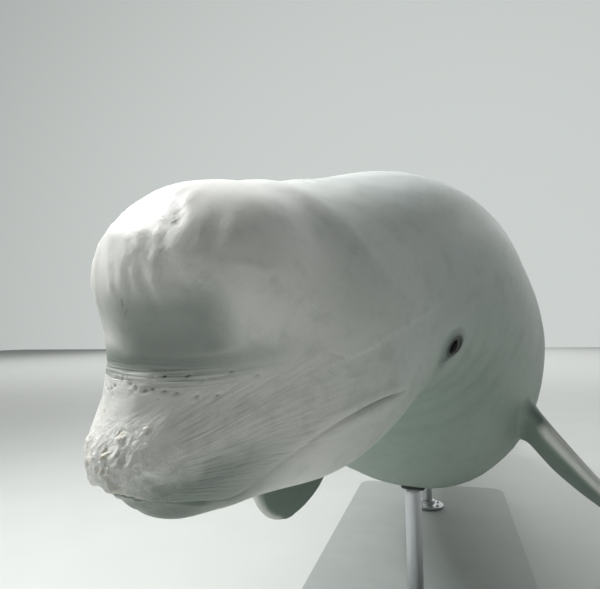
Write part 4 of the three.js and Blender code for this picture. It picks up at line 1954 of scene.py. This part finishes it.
    def skin(self, finish: Material) -> Object:
        """The finished skin in its place, with its marks as attributes.

        Args:
            finish: The skin's finish.

        Returns:
            The piece.
        """
        mesh = self.joined()
        straight = points_of(mesh)
        flat = np.zeros(len(straight))
        marks = {name: flat.copy() for name in ("crease", "scab", "shade", "fin", "rim")}
        relief = Relief(straight, self.form, flat.copy(), marks)
        details = (self.mouth, self.crease, self.wear, self.scratches)
        details += (self.eye, self.blowhole, self.folds, self.slits)
        for detail in details:
            detail.carve(relief)
        # The fins' mark carries painted shade, the leading edges' mark a painted highlight
        relief.mark("fin", smoothstep(*self.fin_rise, self.form.field(straight)))
        relief.mark("rim", self.rims(straight))
        dressed = straight + normals_of(mesh) * relief.height[:, None]
        set_points(mesh, self.spine.carried(dressed))
        write_attribute(mesh, "whale_place", straight)
        for name, amount in relief.marks.items():
            write_attribute(mesh, name, amount)
        return piece("whale_skin", mesh, finish)

    def rims(self, p: Array) -> Array:
        """How near points lie to a flipper's leading edge.

        Args:
            p: The points, one row each.

        Returns:
            The nearness of each point, from 0 to 1.
        """
        near = np.zeros(len(p))
        for flipper, t in itertools.product(self.flippers, np.linspace(*self.rim_spans)):
            section = flipper.section(float(t))
            edge = section.centre - section.along * section.chord / 2
            distance = np.linalg.norm(p - edge, axis=1)
            near = np.maximum(near, smoothstep(*self.rim_fall, distance))
        return near

    def eyeball(self, side: Side, finish: Material) -> Object:
        """One eyeball, with each point's distance from the middle of its gaze as an attribute.

        Args:
            side: The whale's side.
            finish: The eye's finish.

        Returns:
            The piece.
        """
        skin, out, along, up = self.eye.frame(self.form, side)
        centre = skin + out * (self.eye.bulge - self.eye.radius)
        turn = around(self.ball_sides)
        flat = np.outer(np.cos(turn), along) + np.outer(np.sin(turn), up)
        rings = []
        for angle in np.linspace(self.ball_start, 1, self.ball_rings) * self.ball_reach:
            spread = math.sin(angle) * flat + math.cos(angle) * out
            rings.append(centre + self.eye.radius * spread)
        shell = loft(rings)
        gaze = np.linalg.norm(shell.points - (skin + out * self.eye.bulge), axis=1)
        shell.points = self.spine.carried(shell.points)
        mesh = shell.mesh("eye")
        write_attribute(mesh, "gaze", gaze)
        return piece(f"eye_{side.name.lower()}_ball", mesh, finish)


# Finishes


@dataclass(frozen=True)
class SkinFinish:
    """The whale's skin: ivory on the snout, cooler and greyer behind, worn in places, with painted
    shade in its creases, under the snout, on the melon's front, on the fins and towards the
    underside, and a painted highlight on the flippers' leading edges.
    """

    ivory: Colour = tone(0.95, 0.95, 0.93)
    sage: Colour = tone(0.75, 0.78, 0.765)
    # Painted shade towards the underside
    belly: Colour = tone(0.58, 0.65, 0.6)
    # Random mottles and streaks, and the painted shade of the marks, the fins and the fold's ridges
    slate_and_shade: Colour = tone(0.38, 0.44, 0.405)
    tan: Colour = tone(0.84, 0.79, 0.66)
    # The painted shade of grooves, pits, scratches and slits
    dark: Colour = tone(0.13, 0.17, 0.15)

    def pleats(self, board: Board, place: Sock) -> tuple[Sock, Sock]:
        """The height over the fold under the melon, and the fine ridges along it.

        Args:
            board: The skin's board.
            place: The straight coordinates.

        Returns:
            The height, and noise from 0 to 1.
        """
        back, left, up = board.parts(place)
        fold = up + left * left * 1.9 - 0.0415
        return fold, board.noise(board.vector(left * 14, fold * 430, back * 3), 1.0, 2.0)

    def colour(self, board: Board, place: Sock) -> Sock:
        """The skin's colour.

        Args:
            board: The skin's board.
            place: The straight coordinates.

        Returns:
            The colour.
        """
        back, left, up = board.parts(place)
        broad = board.noise(place, 9.0, 3.0)
        soft = board.noise(place, 38.0, 4.0, 0.6)
        # Ivory turns to sage behind the snout: partly the skin's own grey, partly painted shade
        rear = (back + 0.16 * (broad - 0.5)).ramp(0.1, 0.42)
        # Painted shade: darker and greener towards the underside behind the snout
        low = (up + 0.12 * (broad - 0.5)).ramp(0.06, -0.16) * back.ramp(0.12, 0.5)
        base = board.mix(rear, self.ivory, self.sage)
        base = board.mix(low * 0.85, base, self.belly)
        base = board.mix(soft.ramp(0.45, 0.75) * 0.16, base, self.slate_and_shade)
        streaked = board.noise(board.vector(back * 6, left * 26, up * 26), 1.0, 4.0, 0.6)
        base = board.mix(streaked.ramp(0.5, 0.78) * 0.14 * back.ramp(0.3, 0.8), base, self.slate_and_shade)
        # Painted shade: the fins darker than the body
        fin = board.attribute("fin")
        base = board.mix(fin * 0.75, base, self.slate_and_shade)
        # Painted highlight: the flippers' leading edges lighter
        base = board.mix(board.attribute("rim") * 0.9, base, self.ivory)
        shade = board.attribute("shade")
        base = board.mix(shade * 0.85, base, self.slate_and_shade)
        # Painted shade in the low places between the fine ridges along the fold
        fold, pleats = self.pleats(board, place)
        pleated = fold.ramp(-0.016, -0.006) * fold.ramp(0.008, 0.002) * back.ramp(0.1, 0.06)
        base = board.mix(pleats.ramp(0.52, 0.36) * pleated * 0.5, base, self.slate_and_shade)
        scab = board.attribute("scab")
        flakes = board.noise(place, 420.0, 3.0, 0.7)
        base = board.mix(scab * flakes.ramp(0.4, 0.6) * 0.6, base, self.tan)
        # Painted shade in the grooves, pits, scratches, slits and the eyes' openings
        crease = board.attribute("crease")
        return board.mix(crease.ramp(0.15, 0.95) * 0.92, base, self.dark)

    def relief(self, board: Board, place: Sock) -> Sock:
        """The skin's fine grain, as a bumped normal.

        Args:
            board: The skin's board.
            place: The straight coordinates.

        Returns:
            The normal.
        """
        back, left, up = board.parts(place)
        grain = board.noise(place, 900.0, 3.0, 0.6)
        pores = board.cells(place, 260.0).ramp(0.28, 0.05)
        fan = (up + 0.0236) / (back + 0.0237)
        strands = board.noise(board.vector(back * 18, fan * 21, left * 5), 1.0, 2.5, 0.6)
        flank = back.ramp(0.02, 0.05) * back.ramp(0.26, 0.1)
        flank = flank * up.ramp(-0.085, -0.06) * up.ramp(0.03, 0.005)
        fold, pleats = self.pleats(board, place)
        pleated = fold.ramp(-0.018, -0.007) * fold.ramp(0.009, 0.003) * back.ramp(0.12, 0.06)
        fine = board.bump(grain * 0.25 - pores * 0.35, 0.0006, 0.6)
        ribbed = board.bump(strands * flank + pleats * pleated, 0.0022, 0.9, fine)
        front = back.ramp(0.05, 0.02) * up.ramp(0.02, -0.005)
        flakes = board.noise(place, 210.0, 3.0, 0.6) * front
        worn = board.cells(place, 330.0) * board.attribute("scab")
        return board.bump(worn * 0.7 + flakes, 0.002, 0.8, ribbed)

    def material(self) -> Material:
        """The skin's material.

        Returns:
            The material.
        """
        board = Board("whale_skin")
        place = board.attribute("whale_place", "Vector")
        rough = board.noise(place, 60.0, 3.0)
        return board.finish(
            {
                "Base Color": self.colour(board, place),
                "Roughness": 0.4 + 0.16 * rough + 0.2 * board.attribute("scab"),
                "Normal": self.relief(board, place),
                "Specular IOR Level": 0.45,
            }
        )


@dataclass(frozen=True)
class EyeFinish:
    """The eye: a dark brown iris round a black pupil, under a clear wet front."""

    iris: Colour = tone(0.05, 0.038, 0.03)
    rim: Colour = tone(0.025, 0.022, 0.02)
    pupil: Colour = tone(0.01, 0.01, 0.012)

    def material(self) -> Material:
        """The eye's material.

        Returns:
            The material.
        """
        board = Board("whale_eye")
        gaze = board.attribute("gaze")
        fibres = board.noise(board.place(), 1400.0, 3.0)
        inner = board.mix(gaze.ramp(0.0034, 0.0042), self.pupil, self.iris)
        outer = board.mix(gaze.ramp(0.0074, 0.0095), inner, self.rim)
        return board.finish(
            {
                "Base Color": board.mix(fibres.ramp(0.4, 0.8) * 0.5, outer, self.pupil),
                "Roughness": 0.22 + 0.1 * fibres,
                "Specular IOR Level": 0.1,
                "Coat Weight": 0.05,
                "Coat Roughness": 0.05,
            }
        )


@dataclass(frozen=True)
class PaintFinish:
    """Satin paint on the base, with a fine orange-peel, faint clouds and pale specks."""

    colour: Colour = tone(0.6, 0.62, 0.61)
    pale: Colour = tone(0.68, 0.69, 0.68)

    def material(self) -> Material:
        """The paint's material.

        Returns:
            The material.
        """
        board = Board("base_paint")
        place = board.place()
        cloud = board.noise(place, 5.0, 4.0, 0.6)
        peel = board.noise(place, 700.0, 2.0)
        speck = board.cells(place, 90.0).ramp(0.08, 0.03)
        colour = board.mix(cloud.ramp(0.35, 0.7) * 0.35 + speck * 0.3, self.colour, self.pale)
        return board.finish(
            {
                "Base Color": colour,
                "Roughness": 0.52 + 0.12 * cloud,
                "Normal": board.bump(peel, 0.0002, 0.5),
            }
        )


@dataclass(frozen=True)
class SteelFinish:
    """Brushed steel, brushed round its axis."""

    colour: Colour = tone(0.78, 0.79, 0.8)

    def material(self) -> Material:
        """The steel's material.

        Returns:
            The material.
        """
        board = Board("rod_steel")
        x, y, z = board.parts(board.place())
        brushed = board.noise(board.vector(x * 12, y * 12, z * 1800), 1.0, 3.0, 0.7)
        return board.finish(
            {
                "Base Color": self.colour,
                "Metallic": 1.0,
                "Roughness": 0.24 + 0.18 * brushed,
                "Normal": board.bump(brushed, 0.0001, 0.4),
            }
        )


@dataclass(frozen=True)
class RubberFinish:
    """Dark grey rubber of the gaskets under the belly."""

    colour: Colour = tone(0.2, 0.21, 0.21)

    def material(self) -> Material:
        """The rubber's material.

        Returns:
            The material.
        """
        board = Board("gasket_rubber")
        grain = board.noise(board.place(), 500.0, 3.0)
        return board.finish(
            {
                "Base Color": board.mix(grain, self.colour, tone(0.27, 0.28, 0.28)),
                "Roughness": 0.62 + 0.15 * grain,
                "Normal": board.bump(grain, 0.0002, 0.5),
            }
        )


# The stand


@dataclass(frozen=True)
class Stand:
    """The plain stand: a flat base, and two rods with flanges, bolts and rubber gaskets."""

    length: float = 1.8
    width: float = 0.7
    height: float = 0.04
    corner: float = 0.06
    corner_steps: int = 16
    bevel: float = 0.005
    bevel_steps: int = 5
    # Faces of the base below this area are shaded smooth
    flat_area: float = 0.02
    rod_radius: float = 0.022
    rod_levels: int = 12
    rods: tuple[tuple[str, float], ...] = (("front", -0.43), ("rear", 0.54))
    # Steps round the rods, flanges and gaskets
    steps: int = 96
    flange: float = 0.068
    flange_height: float = 0.012
    hub: float = 0.033
    hub_height: float = 0.03
    edge: float = 0.0025
    edge_steps: int = 6
    fillet: float = 0.006
    fillet_steps: int = 8
    bolts: int = 6
    bolt_ring: float = 0.052
    bolt_radius: float = 0.0062
    bolt_height: float = 0.0042
    bolt_rim: float = 0.0012
    bolt_dome: tuple[float, float, int] = (0.2, 1.1, 4)
    bolt_sides: int = 18
    socket: float = 0.0028
    socket_depth: float = 0.002
    gap: float = 0.0003
    # The gasket's section: its half width and half height, its offset and its drop
    gasket_half: Span = (0.0062, 0.0058)
    gasket_offset: float = 0.004
    gasket_drop: float = 0.002
    gasket_sides: int = 12
    # Rays to the belly start here, and a rod goes on into it
    ray_start: float = 0.1
    rod_sunk: float = 0.02

    @property
    def foot(self) -> float:
        """The level where the rods and flanges stand."""
        return self.height + self.gap

    def belly(self, skin: BVHTree, x: float, y: float = 0.0) -> Vector:
        """The point of the whale's belly over a place on the base."""
        return skin.ray_cast(Vector((x, y, self.ray_start)), Vector(UP))[0]

    def base(self, finish: Material) -> Object:
        """The base: a slab with round corners and softly rounded edges.

        Args:
            finish: The slab's finish.

        Returns:
            The piece.
        """
        bm = bmesh.new()
        corners = []
        inner = Vector((self.length / 2 - self.corner, self.width / 2 - self.corner, 0))
        for k, signs in enumerate(((1, 1, 0), (-1, 1, 0), (-1, -1, 0), (1, -1, 0))):
            for step in range(self.corner_steps + 1):
                a = math.pi / 2 * (k + step / self.corner_steps)
                reach = Vector((math.cos(a), math.sin(a), 0)) * self.corner
                corners.append(bm.verts.new(inner * Vector(signs) + reach))
        face = bm.faces.new(corners)
        top = bmesh.ops.extrude_face_region(bm, geom=[face])
        lifted = [v for v in top["geom"] if isinstance(v, bmesh.types.BMVert)]
        bmesh.ops.translate(bm, verts=lifted, vec=(0, 0, self.height))
        bmesh.ops.recalc_face_normals(bm, faces=bm.faces)
        rims = [e for e in bm.edges if abs(e.verts[0].co.z - e.verts[1].co.z) < LEVEL]
        bmesh.ops.bevel(
            bm, geom=rims, offset=self.bevel, segments=self.bevel_steps, profile=0.5, affect="EDGES"
        )
        mesh = bpy.data.meshes.new("stand_base")
        bm.to_mesh(mesh)
        bm.free()
        obj = piece("base_slab", mesh, finish)
        mesh.polygons.foreach_set("use_smooth", [p.area < self.flat_area for p in mesh.polygons])
        return obj

    def rod(self, name: str, x: float, top: float, finish: Material) -> Object:
        """One rod, from the base up into the belly.

        Args:
            name: Which rod.
            x: Its place along the base.
            top: The belly's level over it.
            finish: The rod's finish.

        Returns:
            The piece.
        """
        turn = around(self.steps)
        circle = np.stack([np.cos(turn), np.sin(turn)], axis=1) * self.rod_radius + np.array([x, 0])
        levels = np.linspace(self.foot, top + self.rod_sunk, self.rod_levels)
        rings = [np.column_stack([circle, np.full(self.steps, z)]) for z in levels]
        return piece(f"rod_{name}", loft(rings).mesh(f"rod_{name}"), finish)

    def collar(self, name: str, x: float, finish: Material) -> Object:
        """The flange at a rod's foot, its edges and its fillet rounded.

        Args:
            name: Which rod.
            x: Its place along the base.
            finish: The flange's finish.

        Returns:
            The piece.
        """
        bore = self.rod_radius + self.gap
        profile = [(bore, 0.0), (self.flange, 0.0)]
        for radius, height, r, steps in (
            (self.flange, self.flange_height, self.edge, self.edge_steps),
            (self.hub, self.flange_height, -self.fillet, self.fillet_steps),
            (self.hub, self.hub_height, self.edge, self.edge_steps),
        ):
            for a in np.linspace(0, math.pi / 2, steps):
                out, rise = (math.cos(a), math.sin(a)) if r > 0 else (math.sin(a), math.cos(a))
                profile.append((radius - r + r * out, height - r + r * rise))
        profile.append((bore, self.hub_height))
        shell = lathe(profile, self.steps)
        shell.points = shell.points + np.array([x, 0, self.foot])
        return piece(f"flange_{name}", shell.mesh(f"flange_{name}"), finish)

    def bolt(self) -> Object:
        """One domed bolt head with a round socket, standing on the origin.

        Returns:
            The head, which the bolt circles copy.
        """
        outline = [(self.bolt_radius, 0.0), (self.bolt_radius, self.bolt_rim)]
        dome = self.bolt_height - self.bolt_rim
        for a in np.linspace(*self.bolt_dome):
            outline.append((self.bolt_radius * math.cos(a), self.bolt_rim + dome * math.sin(a)))
        bottom = self.bolt_height - self.socket_depth
        outline += [(self.socket, self.bolt_height), (self.socket, bottom)]
        turn, sides = around(self.bolt_sides), self.bolt_sides
        circle = np.stack([np.cos(turn), np.sin(turn), 0 * turn], axis=1)
        rings = [circle * r + np.array([0, 0, z]) for r, z in outline]
        faces = strips(len(rings) - 1, len(rings), sides)
        faces.append(tuple(range((len(rings) - 1) * sides, len(rings) * sides)))
        faces.append(tuple(range(sides))[::-1])
        return added("bolt", Shell(np.concatenate(rings), faces).mesh("bolt"))

    def bolt_tree(self, bolt: Object, finish: Material) -> NodeTree:
        """Geometry nodes that set bolts round a circle.

        Args:
            bolt: The bolt's head.
            finish: The bolts' finish.

        Returns:
            The tree, its inputs named.
        """
        tree = bpy.data.node_groups.new("bolt_circle", "GeometryNodeTree")
        for name, way, kind in (
            ("Geometry", "OUTPUT", "Geometry"),
            ("Bolts", "INPUT", "Int"),
            ("Circle Radius", "INPUT", "Float"),
            ("Centre", "INPUT", "Vector"),
        ):
            tree.interface.new_socket(name, in_out=way, socket_type=f"NodeSocket{kind}")
        start = tree.nodes.new("NodeGroupInput")
        shown = tree.nodes.new("GeometryNodeObjectInfo")
        shown.inputs["Object"].default_value = bolt
        kinds = ("MeshCircle", "InstanceOnPoints", "Transform", "RealizeInstances", "SetMaterial")
        chain = [tree.nodes.new(f"GeometryNode{kind}") for kind in kinds]
        circle, instance, moved, _, dressed = chain
        dressed.inputs["Material"].default_value = finish
        chain.append(tree.nodes.new("NodeGroupOutput"))
        for first, second in zip(chain[1:], chain[2:]):
            tree.links.new(first.outputs[0], second.inputs[0])
        for output, entry in (
            (start.outputs["Bolts"], circle.inputs["Vertices"]),
            (start.outputs["Circle Radius"], circle.inputs["Radius"]),
            (circle.outputs[0], instance.inputs["Points"]),
            (shown.outputs["Geometry"], instance.inputs["Instance"]),
            (start.outputs["Centre"], moved.inputs["Translation"]),
        ):
            tree.links.new(output, entry)
        return tree

    def bolt_circle(
        self, name: str, x: float, tree: NodeTree, finish: Material
    ) -> Object:
        """The bolts of one flange, as one piece.

        Args:
            name: Which rod.
            x: Its place along the base.
            tree: The geometry nodes that set the bolts.
            finish: The bolts' finish.

        Returns:
            The piece.
        """
        holder = added("bolts", bpy.data.meshes.new("bolts"))
        modifier = holder.modifiers.new("bolts", "NODES")
        modifier.node_group = tree
        top = self.foot + self.flange_height
        values = {"Bolts": self.bolts, "Circle Radius": self.bolt_ring, "Centre": (x, 0.0, top)}
        for item in tree.interface.items_tree:
            if item.name in values:
                modifier[item.identifier] = values[item.name]
        mesh = applied(holder)
        bpy.data.objects.remove(holder)
        return piece(f"bolts_{name}", mesh, finish)

    def gasket(
        self, name: str, x: float, skin: BVHTree, finish: Material
    ) -> Object:
        """The rubber ring where a rod meets the belly, following the belly's slope.

        Args:
            name: Which rod.
            x: Its place along the base.
            skin: The whale's skin.
            finish: The gasket's finish.

        Returns:
            The piece.
        """
        rings = []
        radius = self.rod_radius + self.gasket_offset
        half_width, half_height = self.gasket_half
        turn = around(self.gasket_sides)
        for a in around(self.steps):
            outward = np.array([math.cos(a), math.sin(a), 0.0])
            hit = self.belly(skin, x + radius * outward[0], radius * outward[1])
            middle = np.array(hit) - np.array([0, 0, self.gasket_drop])
            across = np.outer(np.cos(turn), outward) * half_width
            rings.append(middle + across + np.outer(np.sin(turn), UP) * half_height)
        return piece(f"gasket_{name}", looped(rings).mesh(f"gasket_{name}"), finish)


# The studio


@dataclass(frozen=True)
class PhotoView:
    """The camera at the photograph's viewing angle."""

    place: Place = (-1.9315, -0.0977, 0.8116)
    pitch: float = math.radians(4.52)
    yaw: float = math.radians(15.45)
    roll: float = math.radians(-0.62)
    focal_pixels: float = 519.93
    picture_width: int = 600
    sensor: float = 36.0
    nearest: float = 0.01
    farthest: float = 200.0

    def build(self) -> None:
        """Makes the camera and sets it as the scene's own."""
        flat = math.cos(self.pitch)
        ahead = Vector((flat * math.cos(self.yaw), flat * math.sin(self.yaw), math.sin(self.pitch)))
        right = ahead.cross(Vector(UP)).normalized()
        up = right.cross(ahead)
        rolled = right * math.cos(self.roll) + up * math.sin(self.roll)
        upright = rolled.cross(ahead)
        data = bpy.data.cameras.new("photo_view")
        data.sensor_fit = "HORIZONTAL"
        data.sensor_width = self.sensor
        data.lens = self.sensor * self.focal_pixels / self.picture_width
        data.clip_start = self.nearest
        data.clip_end = self.farthest
        camera = added("photo_view", data)
        axes = Matrix((rolled, upright, -ahead)).transposed().to_4x4()
        camera.matrix_world = Matrix.Translation(self.place) @ axes
        bpy.context.scene.camera = camera


@dataclass(frozen=True)
class Lamp:
    """One soft white area light: where it is, what it looks at, its size and power."""

    name: str
    place: Place
    target: Place
    size: float
    power: float

    def build(self) -> None:
        """Makes the light."""
        data = bpy.data.lights.new(self.name, "AREA")
        data.size = self.size
        data.energy = self.power
        towards = Vector(self.target) - Vector(self.place)
        turn = towards.to_track_quat("-Z", "Y").to_matrix().to_4x4()
        added(self.name, data).matrix_world = Matrix.Translation(self.place) @ turn


@dataclass(frozen=True)
class Studio:
    """The plain pale floor, the soft lights and the pale surroundings."""

    floor_half: float = 30.0
    floor_colours: tuple[Colour, Colour] = (tone(0.77, 0.78, 0.77), tone(0.8, 0.81, 0.8))
    floor_roughness: float = 0.8
    lamps: tuple[Lamp, ...] = (
        Lamp("key", (-1.3, 2.3, 3.4), (-1.4, 0.0, 0.9), 1.1, 148.0),
        Lamp("top", (0.5, 0.6, 3.8), (0.3, 0.0, 0.8), 2.6, 34.0),
        Lamp("rear", (2.9, -2.6, 2.4), (0.8, 0.0, 0.8), 2.4, 12.0),
        Lamp("far_floor", (17.0, 3.5, 6.0), (17.0, 3.5, 0.0), 26.0, 2300.0),
        Lamp("near_floor", (-14.0, -3.5, 6.0), (-14.0, -3.5, 0.0), 10.0, 90.0),
    )
    surround: Colour = (0.86, 0.91, 0.885, 1.0)
    surround_least: float = 0.13
    surround_rise: float = 0.57

    def floor(self) -> Object:
        """The floor, under the base.

        Returns:
            The floor's object.
        """
        h = self.floor_half
        mesh = bpy.data.meshes.new("floor")
        mesh.from_pydata([(-h, -h, 0), (h, -h, 0), (h, h, 0), (-h, h, 0)], [], [(0, 1, 2, 3)])
        board = Board("floor")
        colour = board.mix(board.noise(board.place(), 3.0, 4.0), *self.floor_colours)
        finish = board.finish({"Base Color": colour, "Roughness": self.floor_roughness})
        return piece("floor", mesh, finish)

    def build(self) -> None:
        """Makes the studio; the surroundings grow brighter along the camera's way."""
        self.floor()
        for lamp in self.lamps:
            lamp.build()
        world = bpy.data.worlds.new("surround")
        bpy.context.scene.world = world
        world.use_nodes = True
        nodes, links = world.node_tree.nodes, world.node_tree.links
        background = nodes["Background"]
        background.inputs[0].default_value = self.surround
        rise = nodes.new("ShaderNodeMath")
        rise.operation = "MULTIPLY_ADD"
        gradient = nodes.new("ShaderNodeTexGradient")
        gradient.gradient_type = "EASING"
        links.new(gradient.outputs["Fac"], rise.inputs[0])
        rise.inputs[1].default_value = self.surround_rise
        rise.inputs[2].default_value = self.surround_least
        links.new(rise.outputs[0], background.inputs[1])


def kept(obj: Object, slot: str, *nodes: str) -> Object:
    """Rides a piece on the whale's body and hides the CAD nodes that it stands for.

    Args:
        obj: The piece.
        slot: Its slot; not used.
        nodes: The CAD nodes, none for a piece that is only in the scene.

    Returns:
        The piece.
    """
    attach(obj, ROOT)
    if nodes:
        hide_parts(*nodes)
    log.info("%s: %d faces", obj.name, len(obj.data.polygons))
    return obj


def main() -> None:
    """Builds the whale, its stand, the studio and the camera."""
    bpy.context.scene.view_settings.view_transform = "Standard"
    PhotoView().build()
    Studio().build()
    whale = Whale()
    skin = whale.skin(SkinFinish().material())
    flesh = ("head", "melon", "lower_jaw", "neck", "chest", "abdomen", "tail_stock")
    fins = ("flipper_left", "flipper_right", "fluke_left", "fluke_right", "dorsal_ridge")
    kept(skin, "skin", *flesh, *fins)
    eye_finish = EyeFinish().material()
    for side in Side:
        kept(whale.eyeball(side, eye_finish), "eye", f"eye_{side.name.lower()}")
    stand = Stand()
    paint, steel = PaintFinish().material(), SteelFinish().material()
    rubber = RubberFinish().material()
    kept(stand.base(paint), "base", "stand_base")
    skin_tree = BVHTree.FromObject(skin, bpy.context.evaluated_depsgraph_get())
    bolt = stand.bolt()
    bolt_tree = stand.bolt_tree(bolt, steel)
    for name, x in stand.rods:
        top = stand.belly(skin_tree, x).z
        kept(stand.rod(name, x, top, steel), "rod", f"stand_rod_{name}")
        kept(stand.collar(name, x, steel), "rod", f"stand_flange_{name}")
        kept(stand.bolt_circle(name, x, bolt_tree, steel), "rod")
        kept(stand.gasket(name, x, skin_tree, rubber), "rod")
    bpy.data.objects.remove(bolt)


if __name__ == "__main__":
    main()
